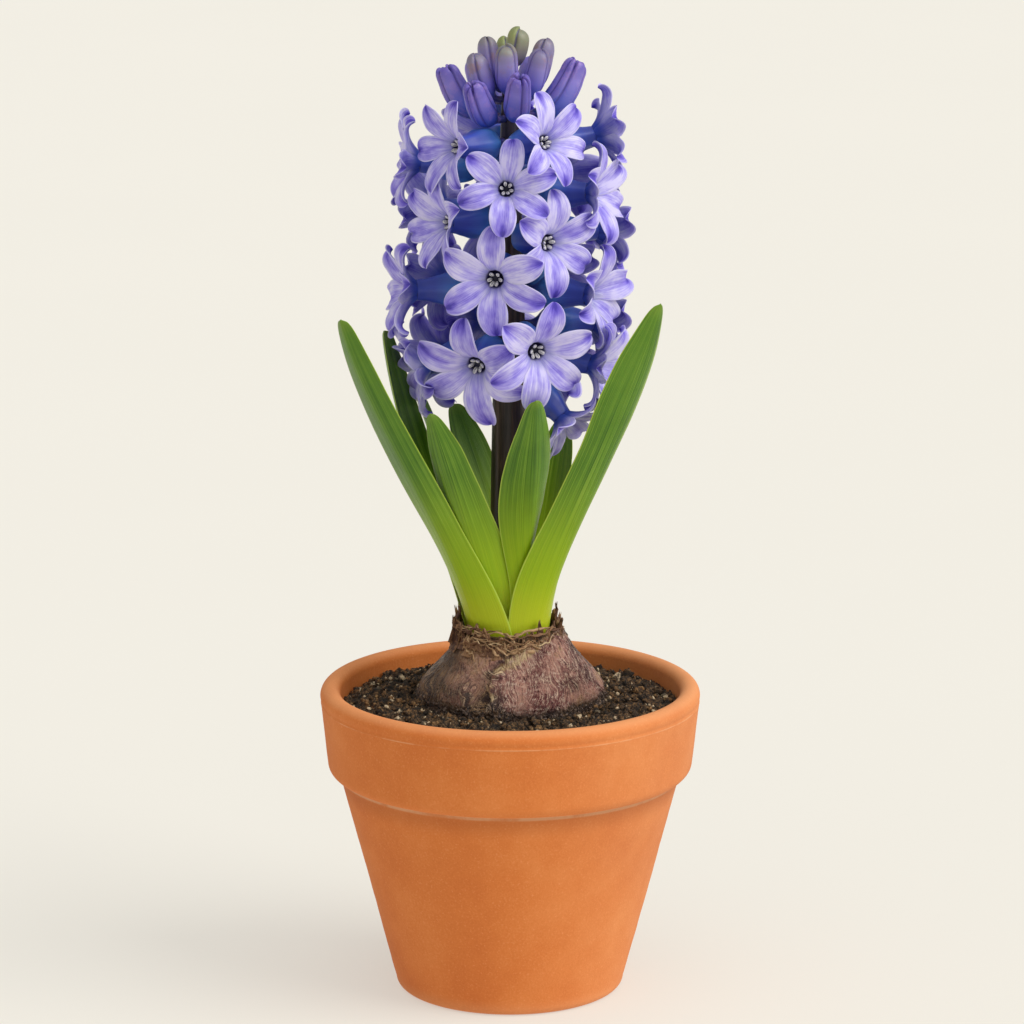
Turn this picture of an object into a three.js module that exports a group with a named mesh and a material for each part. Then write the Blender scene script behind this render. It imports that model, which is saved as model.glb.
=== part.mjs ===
// A hyacinth in flower, standing on its bulb in a terracotta pot.
// Millimetres, +Z up. The origin is on the surface the pot stands on, below the pot's centre.
// The front is -Y. An azimuth of 0 degrees points to the front, and 90 degrees to +X, the right.

import * as THREE from "three";

// Driving dimensions
const GAP = 0.35; // air between two pieces that lie against each other
const ROUND_SIDES = 36; // facets round the pot, the soil, the bulb and the collar

const POT = {
  height: 98.6,
  rimRadius: 60,
  lipRadius: 3.2,
  bandFootRadius: 57.7,
  bandFootHeight: 70.3,
  bandFootRound: 3.7,
  baseRadius: 36.3,
  baseRound: 3,
  wall: 5,
  floor: 7,
  holeRadius: 6,
};

const SOIL_HEIGHT = 94;
const SOIL_RELIEF = 0.9;
const SOIL_DIP = 1.8; // how far the soil sinks towards the pot
const SOIL_RINGS = [48.5, 44, 39, 34];

const BULB = {
  foot: 60,
  neckTop: 117.5,
  cupFloor: 106,
  cupRadius: 14.8,
};

const COLLAR = { foot: 110.5, top: 120.8, frontDip: 2.4, ragged: 2.2, thickness: 1 };

const SCAPE = { foot: 106.4, top: 289.5, sides: 12 };

const LEAF = { foot: 106.5, thickness: 1.8, edgeShare: 0.55 };

const FLORET = {
  petalLength: 14.6,
  petalWidth: 7.8,
  petalThickness: 1.15,
  throatRadius: 3.4,
  throatMouth: 2.7,
  throatDepth: 4.5,
  firstLean: 35,
  innerCurl: 98,
  outerCurl: 110,
};

// The spike is a spiral of florets: each next one stands this far round and this far down.
const SPIRAL = { turn: 80.5, drop: 3.16, top: 275, start: 25, first: -1, last: 25, radius: 26.5 };

const SEED = 47;

// Small helpers
const rad = THREE.MathUtils.degToRad;
const vec = (x, y, z) => new THREE.Vector3(x, y, z);

function seededRandom(seed) {
  let state = seed;
  return () => {
    state = (state * 16807) % 2147483647;
    return state / 2147483647;
  };
}

// The value at t of a line through the points [t, value], which are in rising order of t.
function along(points, t) {
  const next = points.findIndex(([at]) => at >= t);
  if (next <= 0) return points[next === 0 ? 0 : points.length - 1][1];
  const [t0, v0] = points[next - 1];
  const [t1, v1] = points[next];
  return THREE.MathUtils.mapLinear(t, t0, t1, v0, v1);
}

const outward = (azimuth) => vec(Math.sin(rad(azimuth)), -Math.cos(rad(azimuth)), 0);

// A closed surface, put together from points and triangles.
class Skin {
  constructor() {
    this.points = [];
    this.faces = [];
  }

  ring(points) {
    return points.map((point) => this.points.push(point) - 1);
  }

  triangle(a, b, c) {
    this.faces.push(a, b, c);
  }

  // The wall between two rings of as many points, each counter-clockwise about the way ahead.
  band(back, front) {
    back.forEach((_, i) => {
      const j = (i + 1) % back.length;
      this.triangle(back[i], back[j], front[j]);
      this.triangle(back[i], front[j], front[i]);
    });
  }

  capBack(ring, point) {
    const [centre] = this.ring([point]);
    ring.forEach((_, i) => this.triangle(centre, ring[(i + 1) % ring.length], ring[i]));
  }

  capFront(ring, point) {
    const [centre] = this.ring([point]);
    ring.forEach((_, i) => this.triangle(centre, ring[i], ring[(i + 1) % ring.length]));
  }

  geometry() {
    const geometry = new THREE.BufferGeometry().setFromPoints(this.points);
    geometry.setIndex(this.faces);
    geometry.computeVertexNormals();
    return geometry;
  }
}

// A turned shape from its profile of [radius, height] points, with the axis on Z.
function turned(profile) {
  const points = profile.map(([radius, height]) => new THREE.Vector2(radius, height));
  return new THREE.LatheGeometry(points, ROUND_SIDES).rotateX(Math.PI / 2);
}

const plant = new THREE.Group();

function addPiece(name, geometry, material, parent = plant) {
  const mesh = new THREE.Mesh(geometry, material);
  mesh.name = name;
  parent.add(mesh);
  return mesh;
}

// Materials
const finish = (color, roughness) => new THREE.MeshStandardMaterial({ color, roughness, metalness: 0 });
const terracotta = finish(0xc4714a, 0.85);
const pottingMix = finish(0x2c211b, 0.95);
const bulbSkin = finish(0x7a4a5c, 0.5);
const dryTunic = finish(0x8a6a52, 0.8);
const darkStem = finish(0x35222e, 0.45);
const leafGreen = finish(0x4f8a2c, 0.45);
const petalBlue = finish(0x9a94dc, 0.55);
const budViolet = finish(0x6f66b8, 0.5);

// The pot: a tapered wall, a deep band with a round foot, a round lip, and a drainage hole
function potProfile() {
  const bandFootMiddle = POT.bandFootHeight + POT.bandFootRound;
  const bandInset = POT.bandFootRadius - POT.bandFootRound;
  const lipMiddle = POT.height - POT.lipRadius;
  const outline = new THREE.Path();
  outline.moveTo(POT.holeRadius, 0);
  outline.lineTo(POT.baseRadius - POT.baseRound, 0);
  outline.absarc(POT.baseRadius - POT.baseRound, POT.baseRound, POT.baseRound, -Math.PI / 2, 0);
  outline.absarc(bandInset, bandFootMiddle, POT.bandFootRound, -Math.PI / 2, 0);
  outline.absarc(POT.rimRadius - POT.lipRadius, lipMiddle, POT.lipRadius, 0, Math.PI);
  potInside().forEach(([radius, height]) => outline.lineTo(radius, height));
  outline.lineTo(POT.holeRadius, POT.floor);
  outline.lineTo(POT.holeRadius, 0);
  return outline.getPoints(2).map(({ x, y }) => [x, y]);
}

// The pot's inner wall below the lip, from the top down to the floor.
function potInside() {
  const innerBand = POT.bandFootRadius - POT.wall - 0.7;
  return [
    [innerBand, POT.bandFootHeight + POT.bandFootRound],
    [POT.bandFootRadius - POT.bandFootRound - POT.wall, POT.bandFootHeight - 4],
    [POT.baseRadius - POT.wall, POT.floor],
  ];
}

addPiece("pot", turned(potProfile()), terracotta);

// The bulb: a basal plate, a round body, a shoulder, and a neck with a cup that the shoots stand in
const bulbSide = [
  [10, BULB.foot],
  [19.5, BULB.foot + 4],
  [25.5, BULB.foot + 12],
  [28.7, BULB.foot + 23],
  [29.5, SOIL_HEIGHT],
  [28.4, SOIL_HEIGHT + 5],
  [25.6, SOIL_HEIGHT + 9],
  [21.3, SOIL_HEIGHT + 13.8],
  [18.4, SOIL_HEIGHT + 17.6],
  [17.2, SOIL_HEIGHT + 21],
];

addPiece(
  "bulb",
  turned([
    [0, BULB.foot],
    ...bulbSide,
    [16.7, BULB.neckTop],
    [15.3, BULB.neckTop],
    [BULB.cupRadius, BULB.cupFloor + 2],
    [BULB.cupRadius - 1, BULB.cupFloor],
    [0, BULB.cupFloor],
  ]),
  bulbSkin,
);

// The soil: it fills the pot to just under the lip, with a plain hole for the bulb
function soilGeometry() {
  const [bandInside, belowBand, floorEdge] = potInside();
  const lipInside = POT.rimRadius - 2 * POT.lipRadius;
  const hole = bulbSide
    .filter(([, height]) => height <= SOIL_HEIGHT)
    .map(([radius, height]) => [radius + GAP, height < SOIL_HEIGHT ? height - GAP : SOIL_HEIGHT]);
  const geometry = turned([
    [0, POT.floor + GAP],
    [floorEdge[0] - GAP, POT.floor + GAP],
    [belowBand[0] - GAP, belowBand[1]],
    [bandInside[0] - GAP, bandInside[1]],
    [lipInside - 2 * GAP, SOIL_HEIGHT],
    ...SOIL_RINGS.map((radius) => [radius, SOIL_HEIGHT]),
    ...hole.reverse(),
    [0, BULB.foot - GAP],
  ]);
  const places = geometry.getAttribute("position");
  for (let i = 0; i < places.count; i += 1) {
    const x = places.getX(i);
    const y = places.getY(i);
    if (places.getZ(i) > SOIL_HEIGHT - 0.01) {
      const lumps = Math.sin(x * 0.38 + y * 0.17 + 1) * Math.cos(y * 0.34 - x * 0.11);
      const sunk = THREE.MathUtils.smoothstep(Math.hypot(x, y), 40, 53);
      places.setZ(i, SOIL_HEIGHT + SOIL_RELIEF * lumps - SOIL_DIP * sunk);
    }
  }
  return geometry;
}

addPiece("soil", soilGeometry(), pottingMix);

// The collar: dry, torn tunic standing round the bulb's neck, with a ragged upper edge
function collarGeometry() {
  const skin = new Skin();
  const shoulder = bulbSide.map(([radius, height]) => [height, radius]);
  const levels = [0, 0.35, 0.7, 1];
  const spokes = Array.from({ length: ROUND_SIDES }, (_, i) => (360 * i) / ROUND_SIDES);
  const wall = (share, proud) =>
    spokes.map((azimuth) => {
      const torn = Math.sin(rad(azimuth * 3 + 20)) + 0.8 * Math.sin(rad(azimuth * 7 + 75));
      const top = COLLAR.top - COLLAR.frontDip * Math.cos(rad(azimuth)) + (COLLAR.ragged * torn) / 1.8;
      const height = COLLAR.foot + share * (top - COLLAR.foot);
      const radius = Math.max(along(shoulder, height), 17.2) + GAP + proud - 0.2 * share;
      return outward(azimuth).multiplyScalar(radius).setZ(height);
    });
  const outer = levels.map((share) => skin.ring(wall(share, COLLAR.thickness)));
  const inner = levels.map((share) => skin.ring(wall(share, 0))).reverse();
  const loop = [...outer, ...inner];
  loop.forEach((ring, i) => skin.band(ring, loop[(i + 1) % loop.length]));
  return skin.geometry();
}

addPiece("tunic_collar", collarGeometry(), dryTunic);

// The scape: one stem that carries the spike, slimmer towards the top
const SCAPE_SIZES = [
  [SCAPE.foot, 6.2],
  [125, 6.2],
  [195, 5.2],
  [240, 4],
  [275, 2.9],
  [SCAPE.top, 2.2],
];
const scapeRadius = (height) => along(SCAPE_SIZES, height);

function scapeGeometry() {
  const points = [
    new THREE.Vector2(0, SCAPE.foot),
    ...SCAPE_SIZES.map(([height, radius]) => new THREE.Vector2(radius, height)),
    new THREE.Vector2(0, SCAPE.top + 1),
  ];
  return new THREE.LatheGeometry(points, SCAPE.sides).rotateX(Math.PI / 2);
}

addPiece("scape", scapeGeometry(), darkStem);

// Leaves: channelled straps that stand in the neck's cup in two layers and lean out.
// root: azimuth and radius in the cup, tip: where the leaf ends, face: the azimuth its back looks to.
// upright: the share of its height that the leaf goes straight up before it leans.
// bow: how far its path bulges out on the way to the tip.
// pointed: above 1 for a tip that narrows sooner than the common one.
// left and right: what its edges stand out beyond a plain strap's, by the share of its length.
const LEAVES = [
  {
    root: [-46, 12],
    arc: 74,
    tip: [-51.4, -31, 221.2],
    face: -40,
    width: 14.5,
    upright: 0.27,
    bow: 12,
    left: [[0, 0], [0.18, 0.8], [0.37, 0.8], [0.56, 1.4], [0.75, 1.5], [0.9, 0.8], [1, 0]],
    right: [
      [0, 0.4], [0.11, 1.4], [0.21, 1.9], [0.3, 1],
      [0.39, -0.1], [0.55, -1.1], [0.75, -1.4], [1, -0.4],
    ],
  },
  {
    root: [-122, 12.1],
    arc: 68,
    tip: [-39.2, 7.5, 210.5],
    face: -117,
    width: 13.5,
    upright: 0.15,
    bow: 8,
    pointed: 0.8,
  },
  { root: [-126, 8.9], arc: 54, tip: [-32, 20, 194], face: -100, width: 12.5, upright: 0.25, bow: 0 },
  {
    root: [-27, 8.8],
    arc: 60,
    tip: [-24.4, -28, 191.5],
    face: -24,
    width: 16,
    upright: 0.22,
    bow: 3,
    pointed: 1.6,
    left: [[0, 0], [0.5, -1.2], [0.74, -2], [0.9, -1.3], [1, 0]],
    right: [[0, 0], [0.2, 1], [0.37, 1.6], [0.49, 0.8], [0.63, 0], [0.78, -0.8], [0.92, -0.5], [1, 0]],
  },
  { root: [158, 8.9], arc: 60, tip: [-18, 28, 183], face: -150, width: 14, upright: 0.2, bow: 0 },
  {
    root: [39, 8.9],
    arc: 58,
    tip: [8, -39, 197.7],
    face: 14,
    width: 17.3,
    upright: 0.38,
    bow: 4,
    pointed: 1.5,
    left: [[0, 0], [0.29, -0.4], [0.39, 0.3], [0.5, 1], [0.63, 0.7], [0.75, -0.3], [0.86, -1.3], [1, 0]],
    right: [[0, 0], [0.2, -2.2], [0.34, -4.4], [0.45, -4.8], [0.58, -3.6], [0.7, -2], [0.87, -1.6], [1, 0]],
  },
  { root: [136, 12.1], arc: 74, tip: [17.5, 33, 177], face: 150, width: 14, upright: 0.19, bow: 0 },
  {
    root: [40, 12.1],
    arc: 74,
    tip: [46, -30, 226],
    face: 36,
    width: 19.6,
    upright: 0.27,
    bow: 11,
    pointed: 1.35,
    left: [
      [0, 0.6], [0.1, 1.8], [0.16, 2.6], [0.25, 2.3], [0.35, 1.2],
      [0.43, -0.4], [0.6, -1.7], [0.76, -0.4], [1, 0],
    ],
    right: [
      [0, 0], [0.18, -1.8], [0.28, -3.2], [0.42, -3.6],
      [0.58, -2.8], [0.72, -1.2], [0.86, -0.4], [1, 0],
    ],
  },
];
const LEAF_STATIONS = [0, 0.12, 0.22, 0.34, 0.46, 0.58, 0.7, 0.81, 0.9, 0.96, 1];
// A leaf's share of its width, by the share of its length from the tip
const LEAF_TIP = [
  [0, 0], [0.006, 0.22], [0.016, 0.36], [0.032, 0.47], [0.055, 0.57],
  [0.09, 0.69], [0.15, 0.85], [0.22, 0.94], [0.32, 1],
];
const STRAIGHT_EDGE = [[0, 0], [1, 0]];
const LEAF_ACROSS = [-1, -0.5, 0, 0.5, 1];

// The share of a path's length that lies behind the point at t.
function lengthShare(path, t) {
  const lengths = path.getLengths(200);
  return lengths[Math.round(t * 200)] / lengths.at(-1);
}

function leafGeometry(leaf) {
  const { root, arc, tip, face, width, upright, bow } = leaf;
  const { left = STRAIGHT_EDGE, right = STRAIGHT_EDGE, pointed = 1 } = leaf;
  const [rootAzimuth, rootRadius] = root;
  const foot = outward(rootAzimuth).multiplyScalar(rootRadius).setZ(LEAF.foot);
  const end = vec(...tip);
  const rise = foot.clone().add(vec(0, 0, upright * (end.z - foot.z)));
  const lean = vec(end.x - foot.x, end.y - foot.y, 0).normalize();
  const spread = rise.clone().lerp(end, 0.5).add(vec(0, 0, 0.03 * (end.z - foot.z)));
  spread.addScaledVector(lean, bow);
  const path = new THREE.CubicBezierCurve3(foot, rise, spread, end);
  const rootChord = 2 * rootRadius * Math.sin(rad(arc / 2));
  const rootSag = rootRadius * (1 - Math.cos(rad(arc / 2)));
  const skin = new Skin();
  const rings = LEAF_STATIONS.map((t) => {
    const centre = path.getPoint(t);
    const ahead = path.getTangent(t);
    const grown = THREE.MathUtils.smoothstep(t, 0.14, 0.58);
    const turnBack = ((face - rootAzimuth + 540) % 360) - 180;
    const back = outward(rootAzimuth + grown * turnBack);
    back.addScaledVector(ahead, -back.dot(ahead)).normalize();
    const across = back.clone().cross(ahead);
    const taper = Math.max(0.09, along(LEAF_TIP, 1 - lengthShare(path, t)) ** pointed);
    const halfChord = THREE.MathUtils.lerp(rootChord, width, grown) / 2;
    const sag = THREE.MathUtils.lerp(rootSag, 0.16 * width, grown) * taper;
    const half = (LEAF.thickness / 2) * (1 - 0.35 * t);
    const side = (sign) => (u) => {
      const edge = halfChord + along(u > 0 ? left : right, t);
      const bent = sag * (u * (edge / halfChord)) ** 2;
      return centre
        .clone()
        .addScaledVector(across, u * edge * taper)
        .addScaledVector(back, sign * half * (1 - (1 - LEAF.edgeShare) * u * u) - bent);
    };
    return [...LEAF_ACROSS.map(side(-1)), ...LEAF_ACROSS.toReversed().map(side(1))];
  });
  const made = rings.map((ring) => skin.ring(ring));
  made.slice(1).forEach((ring, i) => skin.band(made[i], ring));
  closeStrap(skin, made[0], true);
  closeStrap(skin, made.at(-1), false);
  return skin.geometry();
}

// The flat end of a strap whose ring runs along one face and back along the other.
function closeStrap(skin, ring, atBack) {
  const last = ring.length - 1;
  for (let i = 0; i < LEAF_ACROSS.length - 1; i += 1) {
    const [a, b, c, d] = [ring[i], ring[i + 1], ring[last - i - 1], ring[last - i]];
    if (atBack) {
      skin.triangle(a, c, b);
      skin.triangle(a, d, c);
    } else {
      skin.triangle(a, b, c);
      skin.triangle(a, c, d);
    }
  }
}

LEAVES.forEach((leaf, i) => addPiece("leaf_" + (i + 1), leafGeometry(leaf), leafGreen));

// Florets: a short stalk, a swollen tube, and six petals in two whorls round an open throat.
// Each is made with the stem on Z and its stalk going out along X, and is then turned to its place.
const TUBE = [
  [0, 1.25],
  [0.16, 1.35],
  [0.34, 4.6],
  [0.58, 5.6],
  [0.86, 4],
];
const PETAL_STATIONS = [0.22, 0.48, 0.74, 0.92];
const PETAL_WIDTHS = [
  [0, 0.5],
  [0.22, 0.86],
  [0.48, 1.14],
  [0.74, 0.98],
  [0.92, 0.5],
];

// A path out from the stem, and rings about it of given radii.
function tubeRings(skin, path, sizes, sides, firstAngle, level) {
  return sizes.map(([t, radius]) => {
    const ahead = path.getTangent(t);
    const x = level.clone().addScaledVector(ahead, -level.dot(ahead)).normalize();
    const y = ahead.clone().cross(x);
    const centre = path.getPoint(t);
    const ring = Array.from({ length: sides }, (_, k) => {
      const angle = firstAngle + (2 * Math.PI * k) / sides;
      return centre
        .clone()
        .addScaledVector(x, radius * Math.cos(angle))
        .addScaledVector(y, radius * Math.sin(angle));
    });
    return skin.ring(ring);
  });
}

function floretGeometry({ height, radius, pitch, yaw, roll, size, curl }) {
  const skin = new Skin();
  const [p, w] = [rad(pitch), rad(yaw)];
  const axis = vec(Math.cos(p) * Math.cos(w), Math.cos(p) * Math.sin(w), Math.sin(p));
  const level = vec(-Math.sin(w), Math.cos(w), 0);
  const up = axis.clone().cross(level);
  const throat = vec(radius, 0, 0);
  const around = (angle, reach, rise) =>
    throat
      .clone()
      .addScaledVector(level, reach * Math.cos(angle))
      .addScaledVector(up, reach * Math.sin(angle))
      .addScaledVector(axis, rise);

  // Stalk and tube
  const start = vec(scapeRadius(height) + GAP, 0, -0.35 * radius * Math.sin(p));
  const run = throat.distanceTo(start);
  const bend = start.clone().add(vec(0.35 * run, 0, 0));
  const backOfThroat = throat.clone().addScaledVector(axis, -1);
  const path = new THREE.CubicBezierCurve3(
    start,
    bend,
    backOfThroat.clone().addScaledVector(axis, -0.4 * run),
    backOfThroat,
  );
  const petalAngles = Array.from({ length: 6 }, (_, k) => rad(roll + 60 * k));
  const notch = -Math.PI / 6;
  const tube = tubeRings(skin, path, TUBE, 6, petalAngles[0] + notch, level);
  tube.slice(1).forEach((ring, i) => skin.band(tube[i], ring));
  skin.capBack(tube[0], start);

  // Throat, and the rim points that tube, throat and petals share
  const notches = skin.ring(petalAngles.map((a) => around(a + notch, FLORET.throatRadius * size, 0)));
  const below = skin.ring(petalAngles.map((a) => around(a, FLORET.throatRadius * size + 0.5, -0.9)));
  const above = skin.ring(petalAngles.map((a) => around(a, FLORET.throatMouth * size, -0.1)));
  const [pit] = skin.ring([around(0, 0, -FLORET.throatDepth)]);
  const waist = tube.at(-1);
  petalAngles.forEach((angle, k) => {
    const next = (k + 1) % 6;
    skin.triangle(waist[k], waist[next], below[k]);
    skin.triangle(waist[k], below[k], notches[k]);
    skin.triangle(waist[next], notches[next], below[k]);
    skin.triangle(notches[k], above[k], pit);
    skin.triangle(above[k], notches[next], pit);

    // A petal arches from its first lean to its curl, in a plane through the floret's axis
    const lastLean = (k % 2 ? FLORET.outerCurl : FLORET.innerCurl) + curl;
    const long = FLORET.petalLength * size;
    const spine = petalSpine(long, rad(FLORET.firstLean), rad(lastLean));
    const rows = PETAL_STATIONS.map((t) => {
      const { reach, rise, lean } = spine(t);
      const half = (FLORET.petalWidth * size * along(PETAL_WIDTHS, t)) / 2;
      const thick = (FLORET.petalThickness / 2) * (1 - 0.3 * t);
      const centre = around(angle, FLORET.throatRadius * size + reach, rise);
      const aside = around(angle + Math.PI / 2, 1, 0).sub(throat);
      const spoke = around(angle, 1, 0).sub(throat);
      const face = spoke.multiplyScalar(-Math.cos(lean)).addScaledVector(axis, Math.sin(lean));
      const point = (x, y) => centre.clone().addScaledVector(aside, x).addScaledVector(face, y);
      return skin.ring([point(half, 0.25), point(0, thick), point(-half, 0.25), point(0, -thick)]);
    });
    const base = [notches[next], above[k], notches[k], below[k]];
    [base, ...rows.slice(0, -1)].forEach((ring, i) => skin.band(ring, rows[i]));
    const { reach, rise } = spine(1);
    skin.capFront(rows.at(-1), around(angle, FLORET.throatRadius * size + reach, rise));
  });
  return skin.geometry();
}

// The arc of a petal's midline: its lean grows evenly from first to last along its length.
function petalSpine(long, first, last) {
  const rate = (last - first) / long;
  return (t) => {
    const lean = first + rate * long * t;
    return {
      reach: (Math.cos(first) - Math.cos(lean)) / rate,
      rise: (Math.sin(lean) - Math.sin(first)) / rate,
      lean,
    };
  };
}

// Florets that stand off the plain spiral, by their number along it from the top.
const SEEN = {
  "-1": { azimuth: -40, height: 272.5, radius: 25.5, pitch: 6, yaw: -15, roll: 8, size: 0.92, curl: -11 },
  0: { azimuth: 24, height: 274.6, radius: 26.5, pitch: 18, yaw: 18, roll: 34, size: 0.9 },
  1: { azimuth: 104, height: 272, radius: 27.2, pitch: 12, size: 0.92, curl: -8 },
  2: { azimuth: -168, height: 269.5 },
  3: { azimuth: -94, height: 264.5, radius: 28.2, pitch: 6, size: 0.92, curl: -11 },
  4: { azimuth: -2, height: 261.1, radius: 28.8, pitch: 17, yaw: 4, roll: 18, size: 0.92 },
  5: { azimuth: 70, height: 256.5, radius: 26.2, pitch: 4, yaw: 0, roll: 30, size: 0.93, curl: -11 },
  6: { azimuth: 149, height: 257.5 },
  7: { azimuth: -131, height: 247.5, radius: 28, curl: -6 },
  8: { azimuth: -49, height: 248.7, radius: 25.2, pitch: 3, yaw: -8, roll: 26, size: 0.92, curl: -18 },
  9: { azimuth: 27, height: 243.5, radius: 26, pitch: -1, yaw: 12, roll: 27, size: 1, curl: 10 },
  10: { azimuth: 113.5, height: 241.7, radius: 29.3, curl: -8, roll: 42 },
  11: { azimuth: -173.5, height: 240.2 },
  12: { azimuth: -87, height: 225, radius: 29.6, pitch: 0, roll: 14, size: 0.97, curl: -11 },
  13: { azimuth: -9, height: 233.3, radius: 29.5, pitch: -3, yaw: -6, roll: 30, size: 1.04 },
  14: { azimuth: 68, height: 225, radius: 26.2, pitch: -2, yaw: 0, roll: 20, size: 0.97, curl: -11 },
  15: { azimuth: 152, height: 226.8, size: 0.88, roll: 33 },
  16: { azimuth: -131, height: 224.5, radius: 26.6, curl: 6, roll: 30, size: 0.88 },
  17: { azimuth: -24.5, height: 205.2, radius: 25, pitch: -20, yaw: 0, roll: 34, size: 1.1 },
  18: { azimuth: 16.5, height: 210.8, radius: 29.3, pitch: -9, yaw: 7, roll: 21, size: 1.05 },
  19: { azimuth: 114.5, height: 212.5, radius: 28.2, curl: -2 },
  21: { azimuth: -80, height: 202, radius: 26, pitch: -17, curl: -6 },
  22: { azimuth: 47, height: 187.5, radius: 22.5, pitch: -46, yaw: 14, roll: 40, size: 0.9, curl: -6 },
  23: { azimuth: 74, height: 202.5, radius: 26.5, pitch: -12, curl: -11 },
  25: { azimuth: -130, height: 200, pitch: -9, curl: 0, roll: 12 },
};

function spikeFlorets() {
  const random = seededRandom(SEED);
  const florets = [];
  for (let n = SPIRAL.first; n <= SPIRAL.last; n += 1) {
    const plain = {
      azimuth: SPIRAL.start + SPIRAL.turn * n,
      height: SPIRAL.top - SPIRAL.drop * n,
      radius: SPIRAL.radius,
      pitch: THREE.MathUtils.mapLinear(n, SPIRAL.first, SPIRAL.last, 10, -12),
      yaw: 0,
      roll: 60 * random(),
      size: 0.92,
      curl: 6,
    };
    florets.push({ ...plain, ...SEEN[n] });
  }
  return florets;
}

function place(mesh, azimuth, height) {
  mesh.rotation.z = rad(azimuth - 90);
  mesh.position.z = height;
}

const spike = new THREE.Group();
plant.add(spike);
const twoDigits = (i) => String(i + 1).padStart(2, "0");

spikeFlorets().forEach((floret, i) => {
  const mesh = addPiece("floret_" + twoDigits(i), floretGeometry(floret), petalBlue, spike);
  place(mesh, floret.azimuth, floret.height);
});

// Buds: closed and half-open, on short stalks, round the top of the scape.
// tip: where the bud ends, root: the height its stalk leaves the scape, width: across its body.
const BUDS = [
  { tip: [3.2, -1, 306.5], root: 291, width: 7.2, onTop: true },
  { tip: [-1.6, 8.4, 302.5], root: 288, width: 5.8 },
  { tip: [-7.2, 1.8, 303.2], root: 287, width: 6.8 },
  { tip: [11.4, 4.4, 302.4], root: 285.8, width: 7.2 },
  { tip: [9.8, -6.6, 300.8], root: 285, width: 7 },
  { tip: [-1.1, -9, 302.5], root: 286, width: 7.2 },
  { tip: [-10.8, -6.6, 299.4], root: 284.6, width: 7.2 },
  { tip: [-20, 1, 294.6], root: 279, width: 9 },
  { tip: [20.8, -1, 296.4], root: 279.5, width: 9.4 },
  { tip: [-11.4, -16.4, 291.4], root: 278.6, width: 9 },
  { tip: [3.2, -18.6, 294], root: 279.5, width: 8.6 },
  { tip: [-11.5, 12, 296], root: 283, width: 7.6 },
  { tip: [7.6, 15, 296], root: 282.5, width: 8 },
  { tip: [18.5, 12, 288], root: 276, width: 8.6 },
  { tip: [-5.5, 21, 288], root: 277, width: 8.6 },
];
const BUD_SHAPE = [
  [0, 0.25],
  [0.16, 0.28],
  [0.36, 0.7],
  [0.56, 0.96],
  [0.74, 1],
  [0.89, 0.78],
  [0.97, 0.4],
];

function budGeometry({ tip, root, width, onTop }) {
  const skin = new Skin();
  const end = vec(...tip);
  const reach = Math.hypot(end.x, end.y);
  const local = vec(reach, 0, end.z - root);
  const start = vec(onTop ? 0 : scapeRadius(root) + GAP, 0, 0);
  const span = start.distanceTo(local);
  const bend = start.clone().add(onTop ? vec(0, 0, 0.3 * span) : vec(0.6 * (reach - start.x), 0, 0));
  const aim = local.clone().sub(start).normalize().lerp(vec(0, 0, 1), 0.5).normalize();
  const below = local.clone().addScaledVector(aim, -0.5 * span);
  const path = new THREE.CubicBezierCurve3(start, bend, below, local);
  const sizes = BUD_SHAPE.map(([t, share]) => [t, (share * width) / 2]);
  const rings = tubeRings(skin, path, sizes, 6, 0, vec(0, 1, 0));
  rings.slice(1).forEach((ring, i) => skin.band(rings[i], ring));
  skin.capBack(rings[0], start);
  skin.capFront(rings.at(-1), local);
  return skin.geometry();
}

BUDS.forEach((bud, i) => {
  const mesh = addPiece("bud_" + twoDigits(i), budGeometry(bud), budViolet, spike);
  place(mesh, 90 + THREE.MathUtils.radToDeg(Math.atan2(bud.tip[1], bud.tip[0])), bud.root);
});

export default plant;
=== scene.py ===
"""A hyacinth in flower on its bulb, in a terracotta pot of potting mix.

Shapes are worked out in millimetres, +Z up, with the origin below the pot's centre, and go into
their meshes in metres. The front is -Y. An azimuth of 0 degrees points to the front, 90 to +X.
"""
import math

import bpy
import numpy as np
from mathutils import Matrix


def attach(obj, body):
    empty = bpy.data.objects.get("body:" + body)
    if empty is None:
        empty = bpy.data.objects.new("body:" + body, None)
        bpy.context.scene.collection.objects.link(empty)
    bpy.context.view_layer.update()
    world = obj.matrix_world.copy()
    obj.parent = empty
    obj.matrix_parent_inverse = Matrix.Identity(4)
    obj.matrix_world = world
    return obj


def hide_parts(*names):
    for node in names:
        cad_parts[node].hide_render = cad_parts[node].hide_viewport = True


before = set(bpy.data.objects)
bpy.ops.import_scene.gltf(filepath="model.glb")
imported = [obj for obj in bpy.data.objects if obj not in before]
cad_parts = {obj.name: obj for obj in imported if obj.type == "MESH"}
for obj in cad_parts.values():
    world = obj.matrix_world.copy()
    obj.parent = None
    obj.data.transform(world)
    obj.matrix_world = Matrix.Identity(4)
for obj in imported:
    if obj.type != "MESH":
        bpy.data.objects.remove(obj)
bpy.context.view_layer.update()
MM = 0.001

# How fine each surface's grid is: rows along it and points round it
GRIDS = {
    "petal": (30, 26), "tube": (34, 42), "anther": (9, 10), "bud": (34, 84), "leaf": (104, 52),
    "scape": (90, 48), "bulb": (108, 390), "flake": (16, 24), "fibre": (42, 8), "mix": (48, 320),
    "crumb": (4, 6),
}

# Where each row of random draws starts
SEEDS = {
    "florets": 500, "buds": 900, "mix": 31, "collar": 61, "shown_flakes": 700, "flakes": 1000,
    "shown_strips": 60, "strips": 1500, "fibres": 800,
}

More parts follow.
